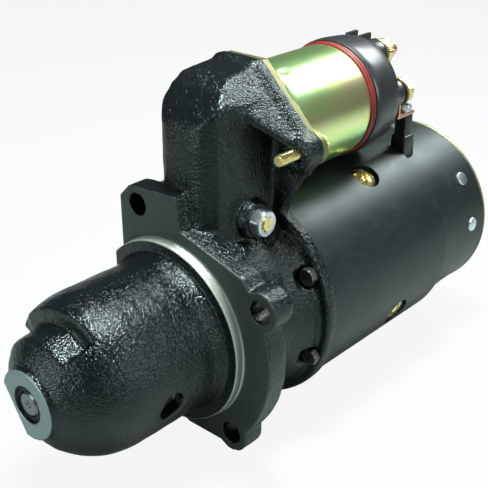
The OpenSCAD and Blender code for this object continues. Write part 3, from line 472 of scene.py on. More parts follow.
@dataclass(frozen=True)
class RainbowZincFinish:
    """Yellow zinc plate whose rainbow tint drifts from green through yellow to rose, with painted reflection
    bands that follow the angle round the case.
    """

    name: str
    axis_z: float = SOLENOID_AXIS[1]
    roughness: float = 0.3

    def build(self) -> bpy.types.Material:
        """Builds the material.

        Returns:
            The finished material.
        """
        g = Graph.of_material(self.name)
        x, y, z = g.axes()
        # Painted reflection: the colour follows the angle round the case, standing in for the bands the case
        # reflects; the noise drift adds the plate's real rainbow tint.
        turn = g.out("ShaderNodeMath", {"operation": "ARCTAN2"}, {0: z - self.axis_z, 1: y}) * 0.45
        drift = g.grain(22.0, 3.0, 0.55, (2.5, 1.0, 1.0))
        film_and_reflection_bands = g.out("ShaderNodeMath", {"operation": "PINGPONG"}, {0: turn + drift * 1.6 + x * 0.004, 1: 1.0})
        stops = [
            (0.0, (0.50, 0.86, 0.38)),
            (0.3, (0.80, 0.95, 0.36)),
            (0.55, (0.96, 0.90, 0.50)),
            (0.8, (0.92, 0.72, 0.58)),
            (1.0, (0.40, 0.76, 0.50)),
        ]
        colour = g.ramp(film_and_reflection_bands, stops)
        lines = g.grain(0.5, 3.0, 0.6, (0.15, 1.0, 1.0))
        rough = lines.spread(self.roughness - 0.05, self.roughness + 0.06)
        return g.finish(g.shader(Base_Color=colour, Metallic=1.0, Roughness=rough,
            Normal=g.bump(lines, 0.006)))


class Finishes:
    """Every finish of the motor, built once, by the record's slot name."""

    def __init__(self) -> None:
        """Builds the materials."""
        around = (0.2, 1.0, 1.0)
        finishes = [
            CastFinish("cast_black"),
            PaintFinish("frame_black"),
            RainbowZincFinish("yellow_zinc"),
            MetalFinish("gold_plate", (0.86, 0.66, 0.28), (0.80, 0.74, 0.36), 0.26, 5.0),
            MetalFinish("pale_plate", (0.22, 0.20, 0.09), (0.15, 0.16, 0.08), 0.5, 6.0),
            MetalFinish("bright_steel", (0.74, 0.77, 0.80), (0.62, 0.66, 0.68), 0.34, 4.0),
            # The shaft's front end gets painted shade inside the nose bore.
            MetalFinish("ground_steel", (0.56, 0.57, 0.58), (0.47, 0.48, 0.50), 0.3, 8.0, around, 0.012,
                shaded_front_x=-80.0, front_shade=(0.16, 0.18, 0.18)),
            MetalFinish("dark_steel", (0.10, 0.105, 0.11), (0.16, 0.15, 0.14), 0.42, 8.0),
            MetalFinish("copper", (0.78, 0.42, 0.30), (0.66, 0.34, 0.22), 0.32, 5.0),
            # The bushing's front gets painted shade, nearly black, inside the nose bore.
            MetalFinish("bronze", (0.72, 0.50, 0.26), (0.58, 0.38, 0.18), 0.42, 3.0, around, 0.02,
                shaded_front_x=-83.0),
            PlainFinish("winding", (0.42, 0.16, 0.06), (0.55, 0.24, 0.09), 0.3, 1.2, 0.08, 0.6),
            PlainFinish("carbon", (0.05, 0.045, 0.043), (0.11, 0.08, 0.065), 0.55, 0.5, 0.03),
            PlainFinish("cap_black", (0.010, 0.011, 0.012), (0.022, 0.024, 0.026), 0.34, 0.7, 0.012, 0.2),
            PlainFinish("seal_red", (0.19, 0.012, 0.009), (0.16, 0.010, 0.008), 0.45, 0.8, 0.02),
            PlainFinish("bobbin", (0.66, 0.6, 0.44), (0.58, 0.52, 0.36), 0.5, 0.8, 0.02),
        ]
        self.by_slot = {finish.name: finish.build() for finish in finishes}

    def dress_nodes(self) -> int:
        """Puts the finish of its slot on every CAD node.

        Returns:
            The number of nodes dressed.
        """
        slots = {part["node"]: part["material_slot"] for part in frame["record"]["subparts"]}
        for node, obj in frame["nodes"].items():
            material = self.by_slot[slots[node]]
            if not obj.material_slots:
                obj.data.materials.append(material)
            for slot in obj.material_slots:
                slot.material = material
        return len(slots)


# ---------------------------------------------------------------- mesh writing


class Shape:
    """A mesh under construction, in millimetres."""

    def __init__(self) -> None:
        """Starts an empty mesh."""
        self.bm = bmesh.new()

    def faces(self, rows: list[list[bmesh.types.BMVert]], closed: bool) -> None:
        """Skins rows of points.

        Args:
            rows: rows of the same length, in order.
            closed: whether each row runs round.
        """
        count = len(rows[0])
        for first, second in zip(rows, rows[1:]):
            for i in range(count if closed else count - 1):
                j = (i + 1) % count
                quad = [first[i], first[j], second[j], second[i]]
                corners = list(dict.fromkeys(quad))
                if len(corners) > 2:
                    self.bm.faces.new(corners)

    def turn(self, profile: Iterable[Point2], centre: Point2 = ON_AXIS, sides: int = 96,
            wave: Callable[[float, float], float] | None = None) -> "Shape":
        """Adds a solid turned about X.

        Args:
            profile: (x, radius) points from one end of the axis to the other; a radius of 0 closes an end.
            centre: the axis in Y and Z.
            sides: the number of sides.
            wave: extra radius as a function of x and angle.

        Returns:
            This shape.
        """
        rows = []
        points = list(profile)
        for x, radius in points:
            if radius <= 1e-6:
                rows.append([self.bm.verts.new((x, *centre))] * sides)
                continue
            row = []
            for i in range(sides):
                angle = math.tau * i / sides
                r = radius + (wave(x, angle) if wave else 0.0)
                row.append(self.bm.verts.new((x, centre[0] + r * math.cos(angle),
                    centre[1] + r * math.sin(angle))))
            rows.append(row)
        if points[0] == points[-1]:
            rows[-1] = rows[0]
        self.faces(rows, True)
        return self

    def block(self, low: Sequence[float], high: Sequence[float], taper: float = 0.0) -> "Shape":
        """Adds a block that can narrow towards +Z.

        Args:
            low: its lowest corner.
            high: its highest corner.
            taper: how much each side draws in at the top.

        Returns:
            This shape.
        """
        (x0, y0, z0), (x1, y1, z1) = low, high
        bottom = [(x0, y0), (x1, y0), (x1, y1), (x0, y1)]
        top = [(x0 + taper, y0 + taper), (x1 - taper, y0 + taper), (x1 - taper, y1 - taper),
            (x0 + taper, y1 - taper)]
        rows = [[self.bm.verts.new((x, y, z0)) for x, y in bottom],
            [self.bm.verts.new((x, y, z1)) for x, y in top]]
        self.faces(rows, True)
        self.bm.faces.new(list(reversed(rows[0])))
        self.bm.faces.new(rows[1])
        return self

    def thread(self, x0: float, x1: float, radius: float, pitch: float, centre: Point2,
            cone: float = 1.0) -> "Shape":
        """Adds a threaded rod with a chamfer at each end.

        Args:
            x0: its front end.
            x1: its rear end.
            radius: the radius over the thread's crests.
            pitch: the distance between crests.
            centre: the axis in Y and Z.
            cone: the length of the chamfer.

        Returns:
            This shape.
        """
        depth = 0.55 * pitch
        steps = max(8, int((x1 - x0) / pitch * 6))
        xs = [x0 + (x1 - x0) * i / steps for i in range(steps + 1)]
        ends = {x: min(1.0, (x - x0) / cone, (x1 - x) / cone) for x in xs}

        def ridge(x: float, angle: float) -> float:
            """Returns how far the surface lies inside the crest."""
            phase = (x / pitch - angle / math.tau) % 1.0
            return -depth * abs(2.0 * phase - 1.0) * (0.35 + 0.65 * ends.get(x, 1.0))

        profile = [(x0, 0.0)] + [(x, radius - depth * 0.8 * (1.0 - ends[x])) for x in xs] + [(x1, 0.0)]
        return self.turn(profile, centre, 28, ridge)

    def nut(self, x0: float, x1: float, flats: float, centre: Point2, bore: float,
            turned: float = 0.0) -> "Shape":
        """Adds a hexagon nut with turned chamfers and a bore.

        Args:
            x0: its front face.
            x1: its rear face.
            flats: the distance across the flats.
            centre: the axis in Y and Z.
            bore: the radius of its bore.
            turned: the angle of its first flat, in degrees.

        Returns:
            This shape.
        """
        sides = 48
        drop = 0.13 * flats

        def hexagon(angle: float, inset: float) -> float:
            """Returns the radius of the chamfered hexagon at an angle."""
            local = (angle - math.radians(turned) + math.pi / 6) % (math.pi / 3) - math.pi / 6
            return min(flats / 2 / math.cos(local), flats / math.sqrt(3) - inset)

        rows = []
        half = flats * (1 / math.sqrt(3) - 0.5)
        for x, inset, hole in ((x0, 0, bore), (x0, half, 0), (x0 + drop * 0.6, 0, 0),
            (x1 - drop * 0.6, 0, 0), (x1, half, 0), (x1, 0, bore), (x0, 0, bore)):
            radius = [hole if hole else hexagon(math.tau * i / sides, inset) for i in range(sides)]
            rows.append([self.bm.verts.new((x, centre[0] + r * math.cos(math.tau * i / sides),
                centre[1] + r * math.sin(math.tau * i / sides))) for i, r in enumerate(radius)])
        self.faces(rows, True)
        bmesh.ops.remove_doubles(self.bm, verts=rows[0] + rows[-1], dist=1e-5)
        return self

    def bevel(self, width: float, segments: int = 2) -> "Shape":
        """Rounds the sharp edges.

        Args:
            width: the width of the rounding.
            segments: the number of facets across it.

        Returns:
            This shape.
        """
        bmesh.ops.recalc_face_normals(self.bm, faces=self.bm.faces)
        limit = math.radians(SHARP_ANGLE)
        edges = [e for e in self.bm.edges if len(e.link_faces) == 2 and e.calc_face_angle(0.0) > limit]
        bmesh.ops.bevel(self.bm, geom=edges, offset=width, segments=segments, affect="EDGES", profile=0.5,
            clamp_overlap=True)
        return self

    def place(self, matrix: Matrix) -> "Shape":
        """Moves everything added so far."""
        bmesh.ops.transform(self.bm, matrix=matrix, verts=self.bm.verts)
        return self

    def merge(self, other: "Shape") -> "Shape":
        """Takes in another shape's mesh.

        Args:
            other: the other shape.

        Returns:
            This shape.
        """
        mesh = bpy.data.meshes.new("part")
        other.bm.to_mesh(mesh)
        self.bm.from_mesh(mesh)
        bpy.data.meshes.remove(mesh)
        return self

    def piece(self, name: str, slot: str, finishes: Finishes, stands_for: Sequence[str],
            corner: Corner = Corner.SOFT) -> None:
        """Writes the mesh out as a piece of the object.

        Args:
            name: the piece's name.
            slot: the record's material slot.
            finishes: the finishes, by slot.
            stands_for: the CAD nodes that it replaces.
            corner: how corners are shaded.
        """
        bmesh.ops.recalc_face_normals(self.bm, faces=self.bm.faces)
        bmesh.ops.scale(self.bm, vec=(MM, MM, MM), verts=self.bm.verts)
        mesh = bpy.data.meshes.new(name)
        self.bm.to_mesh(mesh)
        self.bm.free()
        mesh.shade_smooth()
        mesh.set_sharp_from_angle(angle=math.radians(corner.value))
        place_piece(bpy.data.objects.new(name, mesh), slot, finishes, stands_for)


def place_piece(obj: bpy.types.Object, slot: str, finishes: Finishes, stands_for: Sequence[str]) -> None:
    """Args:
        obj: the new object.
        slot: the record's material slot.
        finishes: the finishes, by slot.
        stands_for: the CAD nodes that it replaces.
    """
    bpy.context.scene.collection.objects.link(obj)
    obj.data.materials.clear()
    obj.data.materials.append(finishes.by_slot[slot])
    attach(obj, MOTOR_BODY)
    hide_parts(*stands_for)
    LOG.info("%s rides on %s", obj.name, MOTOR_BODY)


def polar(radius: float, angle: float) -> Point2:
    """Returns the Y and Z of a place at a radius and an angle in degrees."""
    return (radius * math.cos(math.radians(angle)), radius * math.sin(math.radians(angle)))


def outward(angle: float) -> Matrix:
    """Returns the turn that brings +Z to an angle from +Y towards +Z, in degrees."""
    return Matrix.Rotation(math.radians(angle - 90.0), 4, "X")


def upright(x: float, y: float, z: float) -> Matrix:
    """Returns the move that stands a piece drawn along X up along +Z at a place."""
    return Matrix.Translation((x, y, z)) @ Matrix.Rotation(math.radians(-90.0), 4, "Y")


# ---------------------------------------------------------------- sub-assemblies


@dataclass
class CastHousing:
    """The drive housing, with the soft edges and uneven skin of a sand casting."""

    finishes: Finishes
    voxel: float = 0.8
    soften: int = 9
    pull: float = 0.6
    unevenness: float = 0.22
    lump_size: float = 7.0
    seed: int = 3
    pilot_front: float = -5.6
    pilot_in_r: float = 40.0
    boss_x: float = -84.6
    bore_r: float = 9.6
    node: str = "drive_housing"

    def _remeshed(self) -> bpy.types.Mesh:
        """Lays an even grid over the CAD node.

        Returns:
            The new mesh.
        """
        source = bpy.data.objects.new("casting_source", frame["nodes"][self.node].data.copy())
        bpy.context.scene.collection.objects.link(source)
        remesh = source.modifiers.new("grid", "REMESH")
        remesh.mode = "VOXEL"
        remesh.voxel_size = self.voxel * MM
        evaluated = source.evaluated_get(bpy.context.evaluated_depsgraph_get())
        mesh = bpy.data.meshes.new_from_object(evaluated)
        bpy.data.objects.remove(source)
        return mesh

    def _freedom(self, points: np.ndarray) -> np.ndarray:
        """Returns 0 on machined faces, which keep their edges, and 1 on the cast skin.

        Args:
            points: the vertices, in millimetres.

        Returns:
            One value for each vertex.
        """
        x = points[:, 0]
        radius = np.hypot(points[:, 1], points[:, 2])
        pilot = (x > self.pilot_front) & (x < 0.5) & (radius > self.pilot_in_r)
        boss = (x < self.boss_x) | (radius < self.bore_r)
        return np.where(pilot | boss, 0.0, 1.0)

    def build(self) -> None:
        """Builds the casting, which replaces the CAD node."""
        mesh = self._remeshed()
        count = len(mesh.vertices)
        flat = np.empty(count * 3)
        mesh.vertices.foreach_get("co", flat)
        points = flat.reshape(-1, 3) / MM
        edges = np.empty(len(mesh.edges) * 2, dtype=np.int64)
        mesh.edges.foreach_get("vertices", edges)
        ends = edges.reshape(-1, 2)
        freedom = self._freedom(points)[:, None]
        degree = np.bincount(ends.ravel(), minlength=count)[:, None]
        for _ in range(self.soften):
            total = np.zeros_like(points)
            for axis in range(3):
                total[:, axis] += np.bincount(ends[:, 0], points[ends[:, 1], axis], count)
                total[:, axis] += np.bincount(ends[:, 1], points[ends[:, 0], axis], count)
            points = points + self.pull * freedom * (total / degree - points)
        noise.seed_set(self.seed)
        lumps = np.array([noise.noise_vector(Vector(p) / self.lump_size) for p in points])
        points = points + self.unevenness * freedom * lumps
        mesh.vertices.foreach_set("co", (points * MM).ravel())
        mesh.update()
        mesh.shade_smooth()
        place_piece(bpy.data.objects.new("casting", mesh), "cast_black", self.finishes, (self.node,))


@dataclass
class Solenoid:
    """The solenoid's plated case, seal rings and moulded cap."""

    finishes: Finishes
    axis: Point2 = SOLENOID_AXIS
    case_x: float = 60.5
    case_len: float = 54.0
    case_r: float = 29.3
    case_wall: float = 2.2
    dimple_x: float = 7.0
    dimple_angle: float = 112.0
    dimple_depth: float = 0.7
    seal_w: float = 2.0
    seal_depth: float = 5.0
    cap_r: float = 31.2
    cap_len: float = 21.5
    cap_rear_r: float = 18.5
    cap_rear_len: float = 8.0
    boss_r: float = 7.5
    terminals: tuple[Point2, ...] = (BATTERY_AT, MOTOR_AT)
    rib_y: tuple[float, ...] = (-3.0, 5.5)
    rib_len: float = 9.0
    rib_top_r: float = 30.2

    @property
    def case_end(self) -> float:
        """The rear end of the case."""
        return self.case_x + self.case_len

    def case(self) -> None:
        """Builds the case, with rounded lips and a small dimple near its front."""
        r, x0, x1 = self.case_r, self.case_x + 0.02, self.case_end
        inner = r - self.case_wall
        profile = [(x0, inner), (x0, r - 0.6), (x0 + 0.25, r - 0.15), (x0 + 0.8, r)]
        profile += [(x0 + (x1 - x0) * i / 24, r) for i in range(1, 24)]
        profile += [(x1 - 0.8, r), (x1 - 0.3, r - 0.2), (x1, r - 0.7), (x1, inner), (x0, inner)]

        def dimple(x: float, angle: float) -> float:
            """Works out the dimple's relief.

            Args:
                x: the place along the case.
                angle: the angle round the case.

            Returns:
                How far the surface moves out, below 0 in the dimple.
            """
            across = (angle - math.radians(self.dimple_angle)) * r
            along = x - x0 - self.dimple_x
            inside = x1 - 4 > x > x0 + 1
            return -self.dimple_depth * math.exp(-(along ** 2 + across ** 2) / 3.0) if inside else 0.0

        shape = Shape().turn(profile, self.axis, 192, dimple)
        shape.piece("case_shell", "yellow_zinc", self.finishes, ("solenoid_case",))

    def seals(self) -> None:
        """Builds the two seal rings, round at their outer edge."""
        shape = Shape()
        for i in range(2):
            middle = self.case_end + self.seal_w * (i + 0.5)
            half = self.seal_w / 2 - 0.04
            arc = [(middle - half * math.cos(t), self.case_r - 0.1 + half * math.sin(t))
                for t in (math.pi * k / 8 for k in range(9))]
            inner = self.case_r - self.seal_depth
            shape.turn([(middle - half, inner)] + arc + [(middle + half, inner), (middle - half, inner)],
                self.axis, 128)
        shape.piece("seal_ring_pair", "seal_red", self.finishes, ("seal_rings",))

    def cap(self) -> None:
        """Builds the moulded cap with its terminal bosses and barrier ribs."""
        x0, r = self.case_end + 2 * self.seal_w, self.cap_r
        x1 = x0 + self.cap_len
        x2 = x1 + self.cap_rear_len
        rear = self.cap_rear_r
        profile = [(x0, 0.0), (x0, r - 1.2), (x0 + 0.3, r - 0.6), (x0 + 1.2, r - 0.15), (x0 + 4.0, r),
            (x0 + 7.0, r - 0.05)]
        profile += [(x1 - 6.0, r - 0.8), (x1 - 1.6, r - 1.4), (x1 - 0.5, r - 1.8), (x1, r - 2.6)]
        profile += [(x1, rear + 1.0), (x1 + 0.4, rear + 0.3), (x1 + 1.0, rear), (x2 - 1.2, rear),
            (x2 - 0.3, rear - 0.4), (x2, rear - 1.2), (x2, 0.0)]
        shape = Shape().turn(profile, self.axis, 128)
        for dy, dz in self.terminals:
            ring = [(x1 - 0.5, 0.0), (x1 - 0.5, self.boss_r + 0.5), (x1 + 0.4, self.boss_r),
                (x2 - 0.6, self.boss_r), (x2, self.boss_r - 0.6), (x2, 0.0)]
            shape.turn(ring, (self.axis[0] + dy, self.axis[1] + dz), 48)
        for y in self.rib_y:
            low = (x1 - 1.0, y - 1.0, self.axis[1] + rear - 2.0)
            high = (x1 - 1.0 + self.rib_len, y + 1.0, self.axis[1] + self.rib_top_r)
            shape.merge(Shape().block(low, high).bevel(0.35))
        shape.piece("cap_moulding", "cap_black", self.finishes, ("solenoid_cap",))

    def build(self) -> None:
        """Builds the three pieces."""
        self.case()
        self.seals()
        self.cap()


@dataclass
class Terminals:
    """Studs, nuts and washers behind the cap, with the strap to the field terminal."""

    finishes: Finishes
    axis: Point2 = SOLENOID_AXIS
    seat_x: float = 148.0
    head_x: float = 130.1
    battery: tuple[float, float, float] = (*BATTERY_AT, 15.5)
    motor: tuple[float, float, float] = (*MOTOR_AT, 12.5)
    switch: tuple[float, float, float] = (12.0, -8.0, 9.0)
    stud_r: float = 4.0
    stud_pitch: float = 1.25
    stud_head_r: float = 6.0
    switch_r: float = 2.5
    switch_pitch: float = 0.8
    switch_head_r: float = 4.0
    switch_nut_t: float = 4.0
    switch_flats: float = 8.0
    head_t: float = 4.0
    shank_slack: float = 0.2
    nut_flats: float = 13.0
    nut_t: float = 6.5
    washer_t: float = 1.5
    washer_r: float = 8.0
    strap_t: float = 1.6
    strap_w: float = 8.0
    strap_lip: float = 2.0
    bend_r: float = 2.2
    block: tuple[float, float] = (163.5, -18.0)
    block_half: float = 3.8
    foot_half: float = 5.0
    block_top: float = 71.5
    foot_top: float = 59.5
    foot_low: float = 46.6
    screw_r: float = 2.0
    screw_depth: float = 3.0
    screw_head_t: float = 3.4
    screw_flats: float = 7.0

    def _centre(self, at: tuple[float, float, float]) -> Point2:
        """Returns a terminal's axis in Y and Z."""
        return (self.axis[0] + at[0], self.axis[1] + at[1])

    def studs(self) -> None:
        """Builds the three studs, with threads outside the cap."""
        rows = (("battery", self.battery, self.stud_r, self.stud_head_r, self.stud_pitch, "copper"),
            ("motor", self.motor, self.stud_r, self.stud_head_r, self.stud_pitch, "copper"),
            ("switch", self.switch, self.switch_r, self.switch_head_r, self.switch_pitch, "gold_plate"))
        x0, x1, seat = self.head_x, self.head_x + self.head_t, self.seat_x
        for name, at, radius, head_r, pitch, slot in rows:
            centre = self._centre(at)
            shank_r = radius - self.shank_slack
            shape = Shape().turn([(x0, 0.0), (x0, head_r), (x1, head_r), (x1, shank_r), (seat, shank_r),
                (seat, 0.0)], centre, 32)
            shape.thread(seat - 1.0, seat + at[2], radius, pitch, centre)
            shape.piece(f"{name}_stud_threaded", slot, self.finishes, (f"{name}_stud",))

    def nuts(self) -> None:
        """Builds the nuts and washers."""
        nuts, washers = Shape(), Shape()
        for at, lift, turned in ((self.battery, 0.0, 18.0), (self.motor, self.strap_t, 8.0)):
            centre = self._centre(at)
            x0 = self.seat_x + lift
            x1 = x0 + self.washer_t
            nuts.nut(x1, x1 + self.nut_t, self.nut_flats, centre, self.stud_r - 0.4, turned)
            bore, out = self.stud_r, self.washer_r
            washers.turn([(x0, bore), (x0, out - 0.2), (x0 + 0.3, out), (x1 - 0.3, out), (x1, out - 0.3),
                (x1, bore), (x0, bore)], centre, 48)
        nuts.nut(self.seat_x, self.seat_x + self.switch_nut_t, self.switch_flats, self._centre(self.switch),
            self.switch_r - 0.2, 10.0)
        nuts.piece("terminal_nut_set", "gold_plate", self.finishes, ("terminal_nuts",), Corner.CRISP)
        washers.piece("terminal_washer_set", "pale_plate", self.finishes, ("terminal_washers",))

    def strap(self) -> None:
        """Builds the copper strap, bent from one strip."""
        y, z = self._centre(self.motor)
        bx, by = self.block
        t, half, bend = self.strap_t, self.strap_w / 2, self.bend_r
        path = [(self.seat_x, z + half + self.strap_lip, y), (self.seat_x, self.block_top + bend + t, y)]
        steps = 4
        for k in range(1, steps + 1):
            a = math.pi / 2 * k / steps
            path.append((self.seat_x + bend * (1 - math.cos(a)),
                self.block_top + bend - bend * math.sin(a), y + (by - y) * k / steps))
        path.append((bx + self.block_half, self.block_top, by))
        shape = Shape()
        rows = []
        for i, (x, height, middle) in enumerate(path):
            before, after = path[max(i - 1, 0)], path[min(i + 1, len(path) - 1)]
            along = Vector((after[0] - before[0], after[1] - before[1])).normalized()
            side = Vector((-along.y, along.x)) * t
            near, far = (x, height), (x + side.x, height + side.y)
            ring = ((near, -half), (near, half), (far, half), (far, -half))
            rows.append([shape.bm.verts.new((px, middle + dy, pz)) for (px, pz), dy in ring])
        shape.faces(rows, True)
        shape.bm.faces.new(rows[0])
        shape.bm.faces.new(list(reversed(rows[-1])))
        shape.bevel(0.3)
        shape.piece("strap_strip", "copper", self.finishes, ("motor_strap",))

    def post(self) -> None:
        """Builds the field terminal's moulded post and its screw."""
        x, y = self.block
        shape = Shape()
        h, f = self.block_half, self.foot_half
        shape.merge(Shape().block((x - h, y - h, self.foot_low), (x + h, y + h, self.block_top),
            0.25).bevel(0.6, 3))
        shape.merge(Shape().block((x - f, y - f, self.foot_low), (x + f, y + f, self.foot_top),
            0.4).bevel(0.9, 3))
        shape.piece("field_terminal_post", "cap_black", self.finishes, ("field_terminal_block",))
        head, depth, r = self.screw_head_t, self.screw_depth, self.screw_r
        screw = Shape().nut(0.0, head, self.screw_flats, ON_AXIS, 0.6, 12.0)
        screw.turn([(-depth, 0.0), (-depth, r), (head, r), (head, 0.0)], ON_AXIS, 24)
        screw.place(upright(x, y, self.block_top + self.strap_t))
        screw.piece("strap_screw_head", "bright_steel", self.finishes, ("strap_screw",))

    def build(self) -> None:
        """Builds every terminal piece."""
        self.studs()
        self.nuts()
        self.strap()
        self.post()


@dataclass
class TowerFasteners:
    """The solenoid's mounting bolts with their nuts, and the lever's pivot bolt."""

    finishes: Finishes
    axis: Point2 = SOLENOID_AXIS
    bolt_y: float = 35.3
    bolt_drop: float = -2.3
    bolt_r: float = 3.0
    bolt_pitch: float = 1.15
    bolt_chamfer: float = 0.9
    bolt_front: float = 34.5
    bolt_rear: float = 68.0
    nut_x: float = 60.5
    nut_t: float = 5.0
    nut_flats: float = 10.0
    pivot: tuple[float, float] = (34.0, 52.0)
    pivot_r: float = 4.0
    pivot_boss: float = 24.0
    pivot_pitch: float = 1.25
    pivot_tip: float = 1.0
    pivot_head_t: float = 5.0
    pivot_nut_t: float = 6.0
    pivot_flats: float = 12.0

    def bolts(self) -> None:
        """Builds both threaded bolts and their nuts."""
        rods, nuts = Shape(), Shape()
        for side in (-1.0, 1.0):
            centre = (side * self.bolt_y, self.axis[1] - side * self.bolt_drop)
            rods.thread(self.bolt_front, self.bolt_rear, self.bolt_r, self.bolt_pitch, centre,
                self.bolt_chamfer)
            nuts.nut(self.nut_x, self.nut_x + self.nut_t, self.nut_flats, centre, self.bolt_r - 0.2, 15.0)
        rods.piece("solenoid_bolt_threads", "gold_plate", self.finishes, ("solenoid_bolts",))
        nuts.piece("solenoid_nut_pair", "gold_plate", self.finishes, ("solenoid_bolt_nuts",), Corner.CRISP)

    def pivot_bolt(self) -> None:
        """Builds the pivot bolt, drawn along X and turned to lie along Y."""
        px, pz = self.pivot
        lie = Matrix.Translation((px, 0.0, pz)) @ Matrix.Rotation(math.radians(-90.0), 4, "Z")
        boss, r = self.pivot_boss, self.pivot_r
        nut_end = boss + self.pivot_nut_t
        bolt = Shape().turn([(-boss, 0.0), (-boss, r), (boss - 1, r), (boss - 1, 0.0)], ON_AXIS, 32)
        bolt.thread(boss - 1.5, nut_end + self.pivot_tip, r, self.pivot_pitch, ON_AXIS)
        bolt.nut(-boss - self.pivot_head_t, -boss, self.pivot_flats, ON_AXIS, 0.5)
        bolt.place(lie).piece("pivot_bolt_threaded", "gold_plate", self.finishes, ("pivot_bolt",))
        nut = Shape().nut(boss, nut_end, self.pivot_flats, ON_AXIS, r - 0.3, 12.0)
        nut.place(lie).piece("pivot_hex_nut", "bright_steel", self.finishes, ("pivot_nut",), Corner.CRISP)

    def build(self) -> None:
        """Builds every fastener of the tower."""
        self.bolts()
        self.pivot_bolt()


@dataclass
class MotorFasteners:
    """Pole screws, brush holder screws, end screws and housing screws."""

    finishes: Finishes
    pole_x: float = 120.0
    pole_angles: tuple[float, ...] = (26.0, 116.0, 206.0, 296.0)
    pole_seat: float = 51.0
    pole_head_r: float = 8.0
    pole_shank_r: float = 4.75
    pole_end: float = 39.0
    recess_half: float = 0.95
    recess_depth: float = 2.1
    recess_share: float = 0.72
    recess_first: float = 20.0
    recess_step: float = 33.0
    holder_x: float = 192.0
    holder_angles: tuple[float, ...] = (159.5, 249.5, 339.5, 429.5)
    holder_spread: float = 15.5
    holder_seat: float = 51.6
    holder_head_r: float = 4.0
    holder_shank_r: float = 2.0
    holder_depth: float = 11.0
    end_plate_x: float = 205.2
    end_plate_r: float = 51.95
    end_plate_t: float = 2.2
    end_at: float = 48.0
    end_angles: tuple[float, ...] = (24.5, 114.5, 204.5, 294.5)
    end_head_r: float = 3.3
    end_shank_r: float = 1.95
    end_depth: float = 58.0
    rim_x: float = 49.0
    rim_at: float = 51.25
    rim_angles: tuple[float, ...] = (21.0, 151.0, 201.0, 331.0)
    rim_head_t: float = 4.0
    rim_flats: float = 8.0
    rim_shank_r: float = 2.4
    rim_depth: float = 12.0

    def _cross_head(self, radius: float, turned: float) -> Shape:
        """Returns a domed screw head along X with a cross recess.

        Args:
            radius: the head's radius.
            turned: the angle of the recess, in degrees.

        Returns:
            The head, seated at x = 0.
        """
        rows = [(0.0, radius), (0.9, radius), (1.6, radius - 0.5), (2.3, radius - 1.6)]
        rows += [(2.3 + 1.4 * (1 - k * k / 36), (radius - 1.6) * k / 6) for k in range(5, -1, -1)]
        head = Shape().turn(rows, ON_AXIS, 64)
        bmesh.ops.subdivide_edges(head.bm, edges=head.bm.edges[:], cuts=1, use_grid_fill=True)
        a = math.radians(turned)
        for vert in head.bm.verts:
            _, y, z = vert.co
            u, v = y * math.cos(a) + z * math.sin(a), -y * math.sin(a) + z * math.cos(a)
            reach = math.hypot(y, z) / radius
            if vert.co.x > 1.2 and min(abs(u), abs(v)) < self.recess_half and reach < self.recess_share:
                vert.co.x -= self.recess_depth * (1.0 - (reach / self.recess_share) ** 3)
        return head

    def pole_screws(self) -> None:
        """Builds the four pole screws."""
        shape = Shape()
        tip, r = self.pole_end - self.pole_seat, self.pole_shank_r
        for i, angle in enumerate(self.pole_angles):
            screw = self._cross_head(self.pole_head_r - 0.1, self.recess_first + self.recess_step * i)
            screw.turn([(tip, 0.0), (tip, r), (0.2, r), (0.2, 0.0)], ON_AXIS, 32)
            screw.place(outward(angle) @ upright(self.pole_x, 0.0, self.pole_seat))
            shape.merge(screw)
        shape.piece("pole_screw_set", "gold_plate", self.finishes, ("pole_screws",))

    def holder_screws(self) -> None:
        """Builds the eight flat brush holder screws."""
        shape = Shape()
        tip, r, rim = -self.holder_depth, self.holder_shank_r, self.holder_head_r
        profile = [(tip, 0.0), (tip, r), (-0.25, r), (-0.25, rim - 0.1), (0.2, rim), (0.75, rim - 0.25),
            (0.98, rim - 0.8), (1.0, 0.0)]
        seat = upright(self.holder_x, 0.0, self.holder_seat)
        for angle in self.holder_angles:
            for side in (-1.0, 1.0):
                place = outward(angle + side * self.holder_spread) @ seat
                shape.merge(Shape().turn(profile, ON_AXIS, 40).place(place))
        shape.piece("holder_screw_set", "bright_steel", self.finishes, ("brush_holder_screws",))

    def end_plate(self) -> None:
        """Builds the plated end plate and its screws."""
        x, r = self.end_plate_x, self.end_plate_r
        top = x + self.end_plate_t
        plate = Shape().turn([(x + 0.02, 0.0), (x + 0.02, r - 0.3), (x + 0.4, r), (x + 1.2, r),
            (x + 1.8, r - 0.4), (top, r - 1.2), (top, 40.0), (x + 1.7, 38.5), (x + 1.7, 20.0),
            (top, 18.5), (top, 0.0)], ON_AXIS, 128)
        plate.piece("end_plate_disc", "pale_plate", self.finishes, ("end_plate",))
        screws = Shape()
        tip, shank, head = top - self.end_depth, self.end_shank_r, self.end_head_r
        for angle in self.end_angles:
            screws.turn([(tip, 0.0), (tip, shank), (top, shank), (top, head), (top + 1.0, head - 0.05),
                (top + 1.8, head - 0.7), (top + 2.15, head - 1.9), (top + 2.2, 0.0)],
                polar(self.end_at, angle), 32)
        screws.piece("end_screw_set", "pale_plate", self.finishes, ("end_screws",))

    def rim_screws(self) -> None:
        """Builds the four dark housing screws."""
        shape = Shape()
        front, tip, r = self.rim_x - 3.4, self.rim_x + self.rim_depth, self.rim_shank_r
        for angle in self.rim_angles:
            centre = polar(self.rim_at, angle)
            shape.nut(self.rim_x - self.rim_head_t, self.rim_x, self.rim_flats, centre, 1.0, angle)
            shape.turn([(front, 0.0), (front, r), (tip, r), (tip, 0.0)], centre, 24)
        shape.piece("rim_screw_set", "dark_steel", self.finishes, ("housing_screws",), Corner.CRISP)

    def build(self) -> None:
        """Builds every fastener of the motor."""
        self.pole_screws()
        self.holder_screws()
        self.end_plate()
        self.rim_screws()


# ---------------------------------------------------------------- studio


